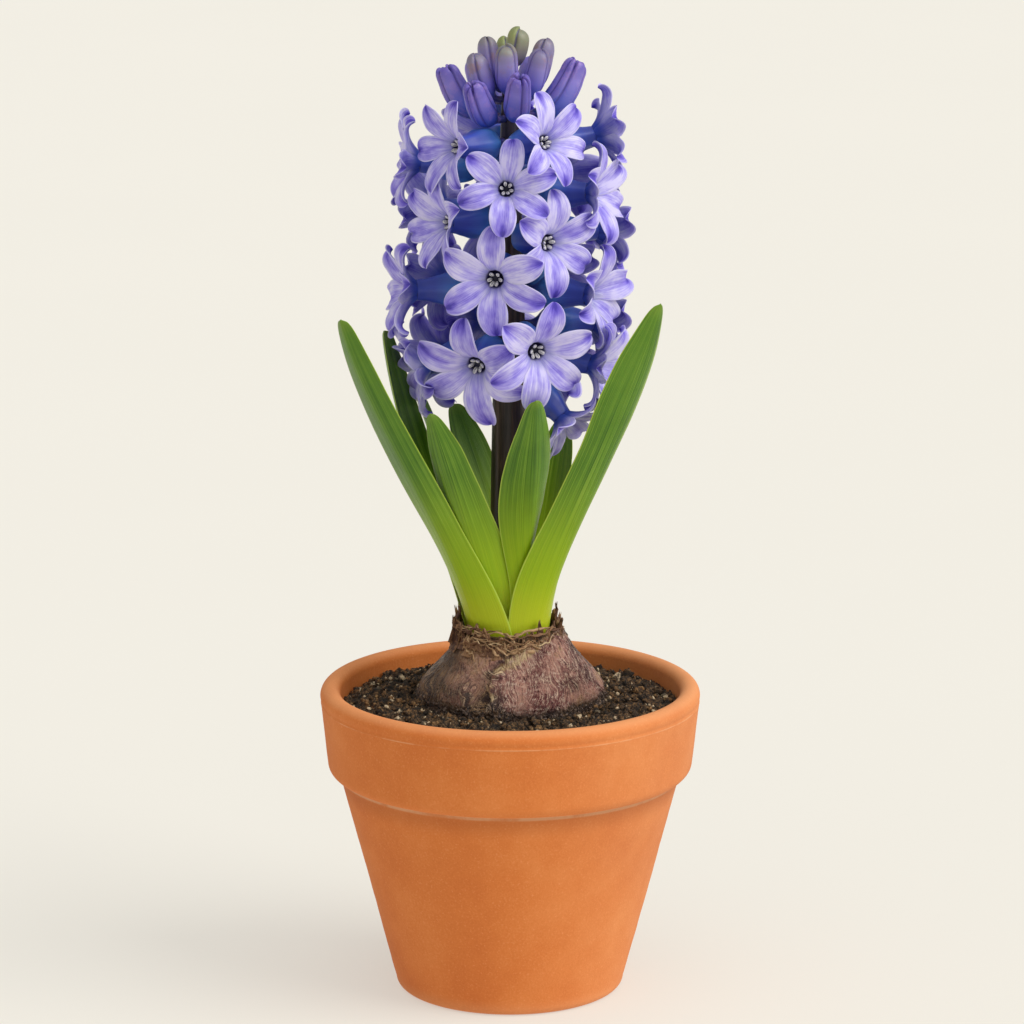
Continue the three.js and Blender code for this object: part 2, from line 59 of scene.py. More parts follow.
# The pot, the mix and the bulb. line_height: where a thin scratch runs round the band.
POT = {
    "height": 98.6,
    "rim_radius": 60,
    "lip_radius": 3.2,
    "band_foot_radius": 57.7,
    "band_foot_height": 70.3,
    "band_foot_round": 3.7,
    "base_radius": 36.3,
    "base_round": 3,
    "wall": 5,
    "floor": 7,
    "hole_radius": 6,
    "line_height": 93.2,
    "points_round": 160,
}
SOIL_HEIGHT = 94

# The bulb's side, and the cup in its neck, as radii and heights
BULB_SIDE = [
    (10, 60), (19.5, 64), (25.5, 72), (28.7, 83), (29.5, 94), (28.4, 99), (25.6, 103),
    (21.3, 107.8), (18.4, 111.6), (17.2, 115), (16.7, 117.5),
]
BULB_CUP = [(15.3, 117.5), (14.8, 108), (13.8, 106)]
BULB_RADIUS = 29

# The scape, and its radius by height. Each stalk starts this gap away from it.
SCAPE_FOOT = 106.4
SCAPE_TOP = 290.5
SCAPE_SIZES = [(106.4, 6.2), (125, 6.2), (195, 5.2), (240, 4), (275, 2.9), (289.5, 2.2)]
GAP = 0.35

# Leaves. root: azimuth and radius in the cup, arc: the angle its foot spans there, face: the azimuth its back
# looks to, upright: how far it goes straight up first, bow: how far it bulges out on its way, pointed: how
# slim its tip is, left and right: how far each edge stands off its plain width, by the share of its length,
# crease: where across it a fold starts and how deep it goes, strip: where across it a lit strip ends and how
# light that is.
LEAF = {"foot": 106.5, "thickness": 1.8, "edge_share": 0.4}
LEAVES = [
    dict(
        root=(-46, 12), arc=74, tip=(-51.4, -31, 221.2), face=-40, width=14.5, upright=0.27, bow=12,
        left=[(0, 0), (0.18, 0.8), (0.37, 0.8), (0.56, 1.4), (0.75, 1.5), (0.9, 0.8), (1, 0)],
        right=[
            (0, 1.6), (0.05, 3.2), (0.11, 3.1), (0.21, 2.2), (0.3, 1), (0.39, -0.1), (0.55, -1.1),
            (0.75, -1.4), (1, -0.4),
        ],
    ),
    dict(
        root=(-122, 12.1), arc=68, tip=(-39.2, 7.5, 210.5), face=-117, width=13.5, upright=0.15, bow=8,
        pointed=0.8,
    ),
    dict(root=(-126, 8.9), arc=54, tip=(-32, 20, 194), face=-100, width=12.5, upright=0.25, bow=0),
    dict(
        root=(-27, 8.8), arc=60, tip=(-24.4, -28, 191.5), face=-24, width=16, upright=0.22, bow=3,
        pointed=1.6, crease=(-0.1, 1.2),
        left=[(0, 0), (0.5, -1.2), (0.74, -2), (0.9, -1.3), (1, 0)],
        right=[
            (0, 0.8), (0.12, 2.0), (0.24, 2.5), (0.37, 2.3), (0.49, 1.1), (0.63, 0), (0.78, -0.8),
            (0.92, -0.5), (1, 0),
        ],
    ),
    dict(root=(158, 8.9), arc=60, tip=(-18, 28, 183), face=-150, width=14, upright=0.2, bow=0),
    dict(
        root=(39, 8.9), arc=58, tip=(8, -39, 197.7), face=14, width=17.3, upright=0.38, bow=4,
        pointed=1.5, crease=(-0.2, 2.0),
        left=[
            (0, 0.9), (0.15, 1.2), (0.29, 0.7), (0.39, 0.8), (0.5, 1.1), (0.63, 0.7), (0.75, -0.3),
            (0.86, -1.3), (1, 0),
        ],
        right=[
            (0, 0), (0.2, -2.2), (0.34, -4.4), (0.45, -4.8), (0.58, -3.6), (0.7, -2), (0.87, -1.6), (1, 0),
        ],
    ),
    dict(root=(136, 12.1), arc=74, tip=(17.5, 33, 177), face=150, width=14, upright=0.19, bow=0),
    dict(
        root=(40, 12.1), arc=74, tip=(46, -30, 226), face=36, width=19.6, upright=0.27, bow=11,
        pointed=1.35, crease=(-0.5, 1.8), strip=(-0.48, 0.6),
        left=[
            (0, 0.6), (0.06, 0.9), (0.13, 2.2), (0.25, 2.6), (0.35, 1.2), (0.43, -0.4), (0.6, -1.7),
            (0.76, -0.4), (1, 0),
        ],
        right=[
            (0, 0), (0.18, -1.8), (0.28, -3.2), (0.42, -3.6), (0.58, -2.8), (0.72, -1.2), (0.86, -0.4),
            (1, 0),
        ],
    ),
]
LEAF_TIP = [
    (0, 0), (0.006, 0.22), (0.016, 0.36), (0.032, 0.47), (0.055, 0.57), (0.09, 0.69), (0.15, 0.85),
    (0.22, 0.94), (0.32, 1), (1, 1),
]

# Florets, on a spiral round the scape. The lean of a petal is its angle from the way its flower looks.
FLORET = {
    "petal_length": 14.6,
    "petal_width": 7.8,
    "petal_thickness": 1.05,
    "petal_foot": 3.0,
    "throat_radius": 3.4,
    "first_lean": 35,
    "inner_curl": 98,
    "outer_curl": 110,
    "hook": 56,
    "cup": 0.6,
    "side_cup": 0.55,
}
# From which angle off the front a flower counts as one at the side, as a broad one, and as one behind
ASIDE = (36, 66)
BROAD = (55, 80)
BEHIND = (100, 125)
SPIRAL = {"turn": 80.5, "drop": 3.16, "top": 275, "start": 25, "first": -1, "last": 25, "radius": 26.5}
SPIRAL_SEED = 47
# Those that stand off the plain spiral, by their number along it from the top. None keeps the plain value.
PLACE = ("azimuth", "height", "radius", "pitch", "yaw", "roll", "size", "curl")
SEEN = {
    -1: (-40, 272.5, 25.5, 6, -15, 8, 0.92, -11),
    0: (24, 274.6, 26.5, 18, 18, 34, 0.9, None),
    1: (104, 272, 27.2, 12, None, None, 0.92, -8),
    2: (-168, 269.5, None, None, None, None, None, None),
    3: (-94, 264.5, 28.2, 6, 8, None, 0.92, -11),
    4: (-2, 261.1, 28.8, 17, 4, 18, 0.92, None),
    5: (70, 256.5, 26.2, 4, None, 30, 0.93, -11),
    6: (149, 257.5, None, None, None, None, None, None),
    7: (-131, 247.5, 28, None, None, None, None, -6),
    8: (-49, 248.7, 25.2, 3, -8, 26, 0.92, -18),
    9: (27, 243.5, 26, -1, 12, 27, 1, 10),
    10: (113.5, 241.7, 29.3, None, None, 42, None, -8),
    11: (-173.5, 240.2, None, None, None, None, None, None),
    12: (-87, 225, 29.6, 0, 9, 14, 0.97, -11),
    13: (-9, 233.3, 29.5, -3, -6, 30, 1.04, None),
    14: (68, 225, 26.2, -2, None, 20, 0.97, -11),
    15: (152, 226.8, None, None, None, 33, 0.88, None),
    16: (-131, 224.5, 26.6, None, None, 30, 0.88, 6),
    17: (-24.5, 205.2, 25, -20, 0, 34, 1.1, None),
    18: (16.5, 210.8, 29.3, -9, 7, 21, 1.05, None),
    19: (114.5, 212.5, 28.2, None, None, None, None, -2),
    21: (-80, 202, 26, -17, None, None, None, -6),
    22: (47, 187.5, 22.5, -46, 14, 40, 0.9, -6),
    23: (74, 202.5, 26.5, -12, None, None, None, -11),
    25: (-130, 200, None, -9, None, 12, None, 0),
}

# Buds. root: the height the stalk leaves the scape, open: how far the tips part.
BUDS = [
    dict(tip=(3.2, -1, 306.5), root=291, width=7.2, on_top=True),
    dict(tip=(-1.6, 8.4, 302.5), root=288, width=5.8),
    dict(tip=(-7.2, 1.8, 303.2), root=287, width=6.8),
    dict(tip=(11.4, 4.4, 302.4), root=285.8, width=7.2),
    dict(tip=(9.8, -6.6, 300.8), root=285, width=7),
    dict(tip=(-1.1, -9, 302.5), root=286, width=7.2),
    dict(tip=(-10.8, -6.6, 299.4), root=284.6, width=7.2),
    dict(tip=(-20, 1, 294.6), root=279, width=9, open=1),
    dict(tip=(20.8, -1, 296.4), root=279.5, width=9.4, open=1),
    dict(tip=(-11.4, -16.4, 291.4), root=278.6, width=9, open=1),
    dict(tip=(3.2, -18.6, 294), root=279.5, width=8.6, open=1),
    dict(tip=(-11.5, 12, 296), root=283, width=7.6),
    dict(tip=(7.6, 15, 296), root=282.5, width=8),
    dict(tip=(18.5, 12, 288), root=276, width=8.6, open=1),
    dict(tip=(-5.5, 21, 288), root=277, width=8.6, open=1),
]


# Numbers and curves
def outward(azimuth):
    """The level unit vector of an azimuth in degrees: (sin, -cos, 0)."""
    a = np.radians(azimuth)
    return np.stack([np.sin(a), -np.cos(a), np.zeros_like(a)], -1)


def round_z(azimuth, radius, height):
    """The points at these azimuths, radii and heights, which broadcast."""
    return outward(azimuth) * radius[..., None] + np.array([0, 0, 1]) * height[..., None]


def turn_angles(count):
    """This many even angles of a full turn, in radians."""
    return np.arange(count) * 2 * np.pi / count


def lens(count, blunt):
    """Round a lens-shaped section: how far across it each point lies, and on which side of it, -1 to 1. The
    side is the sine of the point's angle, to the power blunt."""
    up = np.sin(turn_angles(count))
    return np.cos(turn_angles(count)), np.sign(up) * np.abs(up) ** blunt


def unit(v):
    return v / np.linalg.norm(v, axis=-1, keepdims=True)


def ramp(x, low, high):
    """0 below low, 1 above high, and the cubic 3s^2 - 2s^3 between them."""
    s = np.clip((x - low) / (high - low), 0, 1)
    return s * s * (3 - 2 * s)


def eased(points, t):
    """A smooth line through (t, value) points: cubic arcs, with slopes from each point's neighbours."""
    at, value = np.array(points, float).T
    slope = np.gradient(value, at)
    t = np.clip(t, at[0], at[-1])
    i = np.clip(np.searchsorted(at, t) - 1, 0, len(at) - 2)
    step = at[i + 1] - at[i]
    s = (t - at[i]) / step
    ends = (2 * s**3 - 3 * s**2 + 1) * value[i] + (3 * s**2 - 2 * s**3) * value[i + 1]
    return ends + step * ((s**3 - 2 * s**2 + s) * slope[i] + (s**3 - s**2) * slope[i + 1])


def bezier(corners, t):
    """Points and unit tangents at t of the cubic curve with these four corners."""
    a, b, c, d = (np.asarray(corner, float) for corner in corners)
    t = np.asarray(t, float)[:, None]
    points = (1 - t) ** 3 * a + 3 * (1 - t) ** 2 * t * b + 3 * (1 - t) * t**2 * c + t**3 * d
    ahead = (1 - t) ** 2 * (b - a) + 2 * (1 - t) * t * (c - b) + t**2 * (d - c)
    return points, unit(ahead)


def rumple(points, size, seed, waves=14):
    """Soft random relief, mostly within -1 to 1: a sum of sine waves of this size, at random angles."""
    draw = np.random.default_rng(seed)
    ways = unit(draw.normal(size=(waves, 3))) * draw.uniform(0.6, 1.5, (waves, 1)) * 2 * np.pi / size
    return np.sin(points @ ways.T + draw.uniform(0, 2 * np.pi, waves)).sum(-1) / math.sqrt(waves)


def turn_about_z(points, degrees):
    c, s = math.cos(math.radians(degrees)), math.sin(math.radians(degrees))
    return points @ np.array([[c, s, 0], [-s, c, 0], [0, 0, 1]])


# Meshes
class Shape:
    """Surfaces gathered into one mesh. Each point has its place on its surface, (across, ahead, side),
    and a tone."""

    def __init__(self):
        self.points, self.places, self.tones = [], [], []
        self.quads, self.quad_finishes = [], []
        self.triangles, self.triangle_finishes = [], []
        self.count = 0

    def add_points(self, points, place, tone):
        first = self.count
        self.points.append(points)
        self.places.append(place)
        self.tones.append(np.broadcast_to(np.asarray(tone, float), len(points)))
        self.count += len(points)
        return first

    def tube(self, points, across=0.0, ahead=0.0, side=0.0, tone=0.5, finish=0, loop=False):
        """A wall of rings, a row each, counter-clockwise about the way ahead, with a pole at both ends.
        A loop joins its last ring to its first instead."""
        rows, columns = points.shape[:2]
        place = np.stack(np.broadcast_arrays(across, ahead, side, points[..., 0])[:3], -1)
        tone = np.broadcast_to(tone, (rows, columns)).reshape(-1)
        first = self.add_points(points.reshape(-1, 3), place.reshape(-1, 3), tone)
        r, c = np.meshgrid(np.arange(rows if loop else rows - 1), np.arange(columns), indexing="ij")
        r2, c2 = (r + 1) % rows, (c + 1) % columns
        corners = [r * columns + c, r * columns + c2, r2 * columns + c2, r2 * columns + c]
        quads = np.stack(corners, -1).reshape(-1, 4) + first
        self.quads.append(quads)
        self.quad_finishes.append(np.full(len(quads), finish))
        if not loop:
            self.pole(points, place, tone, 0, first, finish)
            self.pole(points, place, tone, rows - 1, first, finish)

    def pole(self, points, place, tone, row, first, finish):
        """A fan of triangles from the middle of an end ring."""
        columns = points.shape[1]
        middle = self.add_points(points[row].mean(0)[None], place[row].mean(0)[None], tone[row * columns])
        i = np.arange(columns)
        here, there = first + row * columns + i, first + row * columns + (i + 1) % columns
        around = (there, here) if row == 0 else (here, there)
        self.triangles.append(np.stack([np.full(columns, middle), *around], -1))
        self.triangle_finishes.append(np.full(columns, finish))

    def turn(self, degrees, height):
        """Turns everything about Z and lifts it."""
        self.points = [turn_about_z(p, degrees) + [0, 0, height] for p in self.points]


def add_piece(name, shape, finishes, slot, *nodes):
    """The mesh object of a shape, with its place in its mesh, riding on the one body."""
    mesh = bpy.data.meshes.new(name)
    points = np.concatenate(shape.points) * MM
    quads = np.concatenate(shape.quads)
    triangles = np.concatenate(shape.triangles or [np.zeros((0, 3), int)])
    face_finishes = np.concatenate(shape.quad_finishes + shape.triangle_finishes)
    starts = np.concatenate([np.arange(len(quads)) * 4, quads.size + np.arange(len(triangles)) * 3])
    mesh.vertices.add(len(points))
    mesh.loops.add(quads.size + triangles.size)
    mesh.polygons.add(len(quads) + len(triangles))
    mesh.vertices.foreach_set("co", points.ravel().astype(np.float32))
    corners = np.concatenate([quads.ravel(), triangles.ravel()])
    mesh.loops.foreach_set("vertex_index", corners.astype(np.int32))
    mesh.polygons.foreach_set("loop_start", starts.astype(np.int32))
    mesh.polygons.foreach_set("material_index", face_finishes.astype(np.int32))
    place = mesh.attributes.new("place", "FLOAT_VECTOR", "POINT")
    place.data.foreach_set("vector", np.concatenate(shape.places).ravel().astype(np.float32))
    tone = mesh.attributes.new("tone", "FLOAT", "POINT")
    tone.data.foreach_set("value", np.concatenate(shape.tones).astype(np.float32))
    mesh.update(calc_edges=True)
    mesh.shade_smooth()
    for finish in finishes:
        mesh.materials.append(finish)
    piece = bpy.data.objects.new(name, mesh)
    bpy.context.scene.collection.objects.link(piece)
    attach(piece, "root")
    if nodes:
        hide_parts(*nodes)


# Finishes. Their heights are in metres.
def tint(red, green, blue):
    """A colour given as 0 to 255 screen values, as linear light."""
    share = np.array([red, green, blue]) / 255
    return (*np.where(share < 0.04045, share / 12.92, ((share + 0.055) / 1.055) ** 2.4), 1.0)


class Value:
    """An output socket of a finish's nodes. Maths on values adds Math nodes."""

    def __init__(self, finish, socket):
        self.finish = finish
        self.socket = socket

    def maths(self, operation, first, second=0.0):
        return self.finish.node("ShaderNodeMath", {"operation": operation}, {0: first, 1: second})

    def __add__(self, other):
        return self.maths("ADD", self, other)

    def __sub__(self, other):
        return self.maths("SUBTRACT", self, other)

    def __mul__(self, other):
        return self.maths("MULTIPLY", self, other)

    def __rsub__(self, other):
        return self.maths("SUBTRACT", other, self)

    def __abs__(self):
        return self.maths("ABSOLUTE", self)

    __radd__ = __add__
    __rmul__ = __mul__


class Finish:
    """A material that is put together node by node, round one Principled shader."""

    def __init__(self, name, **settings):
        self.material = bpy.data.materials.new(name)
        self.material.use_nodes = True
        self.tree = self.material.node_tree
        self.shader = self.tree.nodes["Principled BSDF"]
        for socket, value in settings.items():
            self.shader.inputs[socket.replace("_", " ")].default_value = value
        self.here = self.node("ShaderNodeTexCoord", output="Object")

    def node(self, kind, settings=None, inputs=None, output=0):
        """Adds a node of this type: its settings, then its sockets' values or links. Gives one output."""
        made = self.tree.nodes.new(kind)
        for name, value in (settings or {}).items():
            if name == "stops":
                while len(made.color_ramp.elements) < len(value):
                    made.color_ramp.elements.new(0.5)
                for element, (position, colour) in zip(made.color_ramp.elements, value):
                    element.position = position
                    element.color = colour
            else:
                setattr(made, name, value)
        for key, value in (inputs or {}).items():
            if isinstance(value, Value):
                self.tree.links.new(value.socket, made.inputs[key])
            else:
                made.inputs[key].default_value = value
        return Value(self, made.outputs[output])

    def attribute(self, name, output="Vector"):
        return self.node("ShaderNodeAttribute", {"attribute_name": name}, output=output)

    def split(self, vector):
        made = self.node("ShaderNodeSeparateXYZ", inputs={0: vector})
        return [Value(self, output) for output in made.socket.node.outputs]

    def join(self, x, y, z):
        return self.node("ShaderNodeCombineXYZ", inputs={0: x, 1: y, 2: z})

    def stretch(self, vector, x, y, z):
        return self.node("ShaderNodeMapping", inputs={"Vector": vector, "Scale": (x, y, z)})

    def noise(self, vector, scale, detail=3.0, roughness=0.55, distortion=0.0):
        sockets = {"Vector": vector, "Scale": scale, "Detail": detail, "Roughness": roughness}
        sockets["Distortion"] = distortion
        return self.node("ShaderNodeTexNoise", inputs=sockets)

    def between(self, value, low, high, start=0.0, end=1.0):
        """Smoothly from start, at low, to end, at high."""
        sockets = {"Value": value, "From Min": low, "From Max": high, "To Min": start, "To Max": end}
        return self.node("ShaderNodeMapRange", {"interpolation_type": "SMOOTHSTEP"}, sockets)

    def mix(self, share, first, second):
        settings = {"data_type": "RGBA", "clamp_factor": True}
        return self.node("ShaderNodeMix", settings, {0: share, 6: first, 7: second}, 2)

    def over(self, body, *coats):
        """Lays coats over a colour, one by one. A coat is its share, then its red, green and blue."""
        for share, *colour in coats:
            body = self.mix(share, body, tint(*colour))
        return body

    def stops(self, value, *stops):
        """A smooth row of colours. A stop is its position, then its red, green and blue."""
        stops = [(position, tint(*colour)) for position, *colour in stops]
        return self.node("ShaderNodeValToRGB", {"stops": stops}, {0: value})

    def done(self, colour, roughness=None, bump=None, strength=1.0, depth=0.0005):
        """Feeds the shader: its colour, and where given its roughness and a bump."""
        self.tree.links.new(colour.socket, self.shader.inputs["Base Color"])
        if roughness is not None:
            self.tree.links.new(roughness.socket, self.shader.inputs["Roughness"])
        if bump is not None:
            sockets = {"Height": bump, "Strength": strength, "Distance": depth}
            normal = self.node("ShaderNodeBump", inputs=sockets)
            self.tree.links.new(normal.socket, self.shader.inputs["Normal"])
        return self.material


def petal_finish():
    """Lavender petals: violet streaks that gather to the tip, pale margins and a blue-grey foot."""
    f = Finish("petal_lavender", Roughness=0.46, Subsurface_Weight=0.2, Subsurface_Scale=0.0008)
    f.shader.inputs["Subsurface Radius"].default_value = (0.8, 0.7, 1.2)
    across, ahead, side = f.split(f.attribute("place"))
    tone = f.attribute("tone", "Fac")
    wide = abs(across)
    veins = f.noise(f.join(across * 9 + tone * 40, ahead * 1.3, side * 0.3), 1.5, 4, 0.6)
    clouds = f.noise(f.join(across * 1.6 + tone * 20, ahead * 2.2, tone * 9), 1.3, 3, 0.5)
    midline = f.between(wide, 0.6, 0.0) * f.between(ahead, 0.12, 0.6, 0.1, 1)
    tip = f.between(ahead, 0.6, 0.92) * f.between(wide, 1.0, 0.3, 0.3, 1)
    spot = f.between(ahead, 0.8, 0.95) * f.between(wide, 0.75, 0.1)
    deep = 0.16 + midline * 0.22 + tip * 0.36 + spot * 0.3
    deep = deep + (veins - 0.5) * 0.95 + (clouds - 0.5) * 1.15 + (tone - 0.5) * 0.24
    body = f.stops(
        deep,
        (0.0, 214, 208, 250),
        (0.28, 172, 162, 238),
        (0.55, 134, 118, 222),
        (0.8, 98, 80, 202),
        (1.0, 72, 56, 176),
    )
    body = f.mix(f.between(wide, 0.84, 0.97) * 0.75, body, tint(212, 208, 248))
    foot = f.between(ahead, 0.22, 0.0)
    body = f.mix(foot * 0.5, body, tint(138, 142, 206))
    behind = f.between(side, 0.2, -0.4)
    rib = f.between(wide, 0.8, 0.1) * f.between(ahead, 1.0, 0.1)
    body = f.over(
        body,
        (behind * rib * 0.75, 74, 82, 184),
        (behind * f.between(ahead, 0.34, 0.04), 62, 84, 182),
    )
    # painted shade: where the petal runs down into the throat it is darkened to deep navy
    throat = f.between(ahead, -0.01, -0.12)
    body = f.mix(throat, body, tint(34, 32, 84))
    return f.done(body, bump=veins, strength=0.3, depth=0.0003)


def tube_finish():
    """The swollen blue tube, dark at the stalk and violet near the petals."""
    f = Finish("tube_blue", Roughness=0.34, Subsurface_Weight=0.1, Subsurface_Scale=0.001)
    ridge, ahead, _ = f.split(f.attribute("place"))
    tone = f.attribute("tone", "Fac")
    cloud = f.noise(f.here, 160, 3)
    streak = f.noise(f.join(ridge * 2.5, ahead * 1.4, tone * 11), 2.0, 4)
    along = ahead + (cloud - 0.5) * 0.14 + (streak - 0.5) * 0.2
    body = f.stops(
        along,
        (0.0, 50, 36, 70),
        (0.2, 50, 70, 150),
        # pale teal painted highlight where the tube swells most
        (0.42, 84, 146, 212),
        (0.66, 84, 122, 208),
        (0.84, 70, 90, 190),
        (1.0, 66, 86, 184),
    )
    # painted shade: darker blue in the troughs between the six lobes
    body = f.mix(f.between(ridge, -0.9, 0.9, 0.3, 0.0), body, tint(44, 58, 150))
    # painted shade: the hollow of the mouth is darkened to near black
    inside = f.between(ahead, 1.02, 1.1)
    return f.done(f.mix(inside, body, tint(26, 22, 62)), bump=streak, strength=0.2, depth=0.0003)


def anther_finish():
    """Pale grey-cream anthers with a dark seam."""
    f = Finish("anther_pale", Roughness=0.6)
    across, ahead, _ = f.split(f.attribute("place"))
    seam = f.between(abs(across), 0.32, 0.05)
    dust = f.noise(f.here, 1600, 3)
    pale = f.stops(dust, (0.35, 176, 176, 184), (0.62, 244, 242, 236))
    body = f.mix(seam * 0.75, pale, tint(58, 54, 84))
    body = f.mix(f.between(ahead, 0.16, 0.0), body, tint(60, 58, 110))
    return f.done(body, bump=dust, strength=0.4, depth=0.0002)


def bud_finish():
    """Violet-blue buds with grooves between their lobes, and brown and green in the tips of the youngest."""
    f = Finish("bud_violet", Roughness=0.42, Subsurface_Weight=0.12, Subsurface_Scale=0.001)
    furrow, ahead, which = f.split(f.attribute("place"))
    young = f.attribute("tone", "Fac")
    streaks = f.noise(f.join(furrow * 2.4 + which * 7, ahead * 1.2, young * 9), 2.4, 4, 0.6)
    patches = f.noise(f.here, 260, 4, 0.6)
    along = ahead + (streaks - 0.5) * 0.3
    violet = f.stops(
        along,
        (0.08, 40, 48, 112),
        (0.34, 54, 92, 184),
        (0.56, 94, 106, 204),
        (0.78, 142, 130, 214),
        (1.0, 104, 88, 178),
    )
    greyed = f.stops(
        along,
        (0.08, 60, 58, 116),
        (0.36, 84, 94, 190),
        (0.56, 132, 122, 214),
        (0.76, 150, 138, 196),
        (0.92, 136, 128, 150),
        (1.0, 112, 104, 128),
    )
    blush = f.between(patches, 0.5, 0.62) * f.between(ahead, 0.6, 0.8) * f.between(ahead, 0.98, 0.88)
    greyed = f.mix(blush * 0.5, greyed, tint(160, 122, 108))
    ripe_tip = f.between(ahead, 0.84, 0.95) * f.between(young, 0.5, 0.6)
    greyed = f.mix(ripe_tip * 0.45, greyed, tint(140, 144, 104))
    green = f.stops(
        along,
        (0.2, 104, 98, 156),
        (0.5, 142, 134, 168),
        (0.68, 150, 150, 124),
        (0.82, 164, 176, 84),
        (1.0, 128, 146, 58),
    )
    green = f.mix(f.between(which, 0.5, 1.5) * 0.7, green, tint(134, 128, 130))
    body = f.mix(f.between(young, 0.1, 0.45), violet, greyed)
    body = f.mix(f.between(young, 0.8, 0.95), body, green)
    body = f.over(
        body,
        (f.between(patches, 0.48, 0.62) * f.between(young, 0.4, 0.1) * 0.35, 178, 146, 212),
        # painted shade: darker violet in the grooves between the lobes and in the pit at the nose
        (f.between(furrow, 0.2, -0.9) * 0.6, 74, 62, 140),
    )
    return f.done(body, bump=streaks, strength=0.35, depth=0.0003)


def scape_finish():
    """The dark, purple-brown, slightly glossy stem."""
    f = Finish("scape_dark", Roughness=0.4)
    streaks = f.noise(f.stretch(f.here, 700, 700, 40), 1.0, 4)
    fine = f.noise(f.here, 500, 3)
    _, _, height = f.split(f.here)
    body = f.stops(streaks, (0.3, 34, 24, 20), (0.5, 60, 44, 36), (0.7, 100, 76, 58))
    body = f.over(
        body,
        (f.between(height, 0.23, 0.27) * 0.6, 36, 38, 62),
        (f.between(height, 0.15, 0.118) * 0.7, 96, 84, 44),
    )
    return f.done(body, bump=streaks + fine * 0.4, strength=0.4, depth=0.0004)


def leaf_finish():
    """Parallel veins, a thin pale margin, and a yellow-green foot. strip is above 0 on a strip that is
    painted lighter as painted light, and a painted highlight line runs where it begins."""
    f = Finish(
        "leaf_green", Roughness=0.4, Specular_IOR_Level=0.32, Subsurface_Weight=0.08, Subsurface_Scale=0.001
    )
    across, ahead, strip = f.split(f.attribute("place"))
    tone = f.attribute("tone", "Fac")
    _, _, height = f.split(f.here)
    fine = f.noise(f.join(across * 34 + tone * 50, ahead * 1.1, tone), 1.0, 3, 0.65)
    broad = f.noise(f.join(across * 5 + tone * 20, ahead * 1.4, tone * 3), 1.0, 2)
    mottle = f.noise(f.here, 60, 4, 0.6)
    body = f.stops(
        fine * 0.55 + broad * 0.3 + mottle * 0.15,
        (0.34, 38, 76, 4),
        (0.46, 74, 117, 20),
        (0.56, 102, 143, 34),
        (0.66, 138, 170, 62),
    )
    pale = f.mix(fine, tint(124, 168, 0), tint(178, 204, 18))
    body = f.mix(f.between(height, 0.176, 0.132), body, pale)
    body = f.over(
        body,
        (f.between(height, 0.14, 0.119) * 0.7, 206, 216, 44),
        # painted light: the lit strip is painted a lighter green
        (f.between(strip, 0.1, 0.9) * 0.5, 142, 180, 40),
    )
    # painted highlight: a brighter line where the lit strip begins
    fold = f.between(strip, 0.05, 0.35) * f.between(strip, 0.95, 0.6)
    body = f.mix(fold * 0.3, body, tint(186, 208, 104))
    margin = f.between(abs(across), 0.955, 0.99)
    body = f.over(
        body,
        (margin * 0.8, 188, 212, 80),
        (f.between(ahead, 0.95, 1.0) * 0.5, 126, 154, 52),
    )
    return f.done(body, bump=fine + broad, strength=0.3, depth=0.0004)


def terracotta_finish():
    """Matt fired clay: fine grain, a little cloudiness, a pale chalky film in patches that is painted
    stronger on the right as painted light, a painted highlight on the top of the lip, and a painted shadow
    under the band.
    """
    f = Finish("terracotta", Roughness=0.86)
    x, _, height = f.split(f.here)
    _, _, line = f.split(f.attribute("place"))
    cloud = f.noise(f.here, 26, 4)
    grain = f.noise(f.here, 1500, 3, 0.7)
    patches = f.noise(f.here, 90, 5, 0.65)
    body = f.stops(
        cloud * 0.5 + patches * 0.22 + grain * 0.28,
        (0.36, 208, 110, 44),
        (0.5, 219, 123, 54),
        (0.64, 228, 136, 68),
    )
    # pale whitening of the clay in patches, painted stronger on the right side as painted light
    bloom_and_painted_light = f.between(patches, 0.35, 0.7, 0.75, 1) * f.between(x, 0.0, 0.055)
    body = f.mix(bloom_and_painted_light * 0.2, body, tint(240, 184, 136))
    dust = f.between(grain, 0.58, 0.75) * 0.3
    body = f.over(
        body,
        (dust, 240, 176, 122),
        # painted highlight: the top of the lip is painted lighter
        (f.between(height, 0.0962, 0.0984) * 0.35, 240, 176, 124),
        (f.between(height, 0.006, 0.0) * 0.35, 226, 160, 112),
        (line * f.between(patches, 0.4, 0.6, 0.05, 0.55), 240, 184, 136),
    )
    crease = f.between(height, 0.0688, 0.0694) * f.between(height, 0.0706, 0.07)
    body = f.mix(crease * f.between(patches, 0.35, 0.55, 0.2, 0.7), body, tint(238, 184, 138))
    # painted shadow under the band's foot
    under = f.between(height, 0.0615, 0.0685) * f.between(height, 0.0704, 0.0698)
    body = f.mix(under * 0.28, body, tint(140, 68, 30))
    return f.done(body, bump=grain + patches * 0.5, strength=0.3, depth=0.0003)


def soil_finish():
    """Dark, moist potting mix with browner and paler bits."""
    f = Finish("potting_mix", Roughness=0.85)
    grain = f.noise(f.here, 1100, 5, 0.75)
    tone = f.attribute("tone", "Fac")
    dark = f.stops(grain, (0.34, 18, 12, 7), (0.5, 64, 45, 27), (0.66, 158, 118, 74))
    brown = f.stops(grain, (0.32, 66, 42, 22), (0.52, 138, 100, 60), (0.7, 196, 156, 106))
    light = f.stops(grain, (0.3, 176, 146, 108), (0.58, 236, 212, 176))
    body = f.mix(f.between(tone, 0.4, 0.75), dark, brown)
    body = f.mix(f.between(tone, 0.86, 0.9), body, light)
    # near-black patches at random: painted shade standing in for the crevices between clumps
    crevice_shade = f.noise(f.here, 300, 3, 0.6)
    body = f.mix(f.between(crevice_shade, 0.52, 0.4) * 0.8, body, tint(14, 9, 6))
    return f.done(body, bump=grain, strength=0.9, depth=0.001)


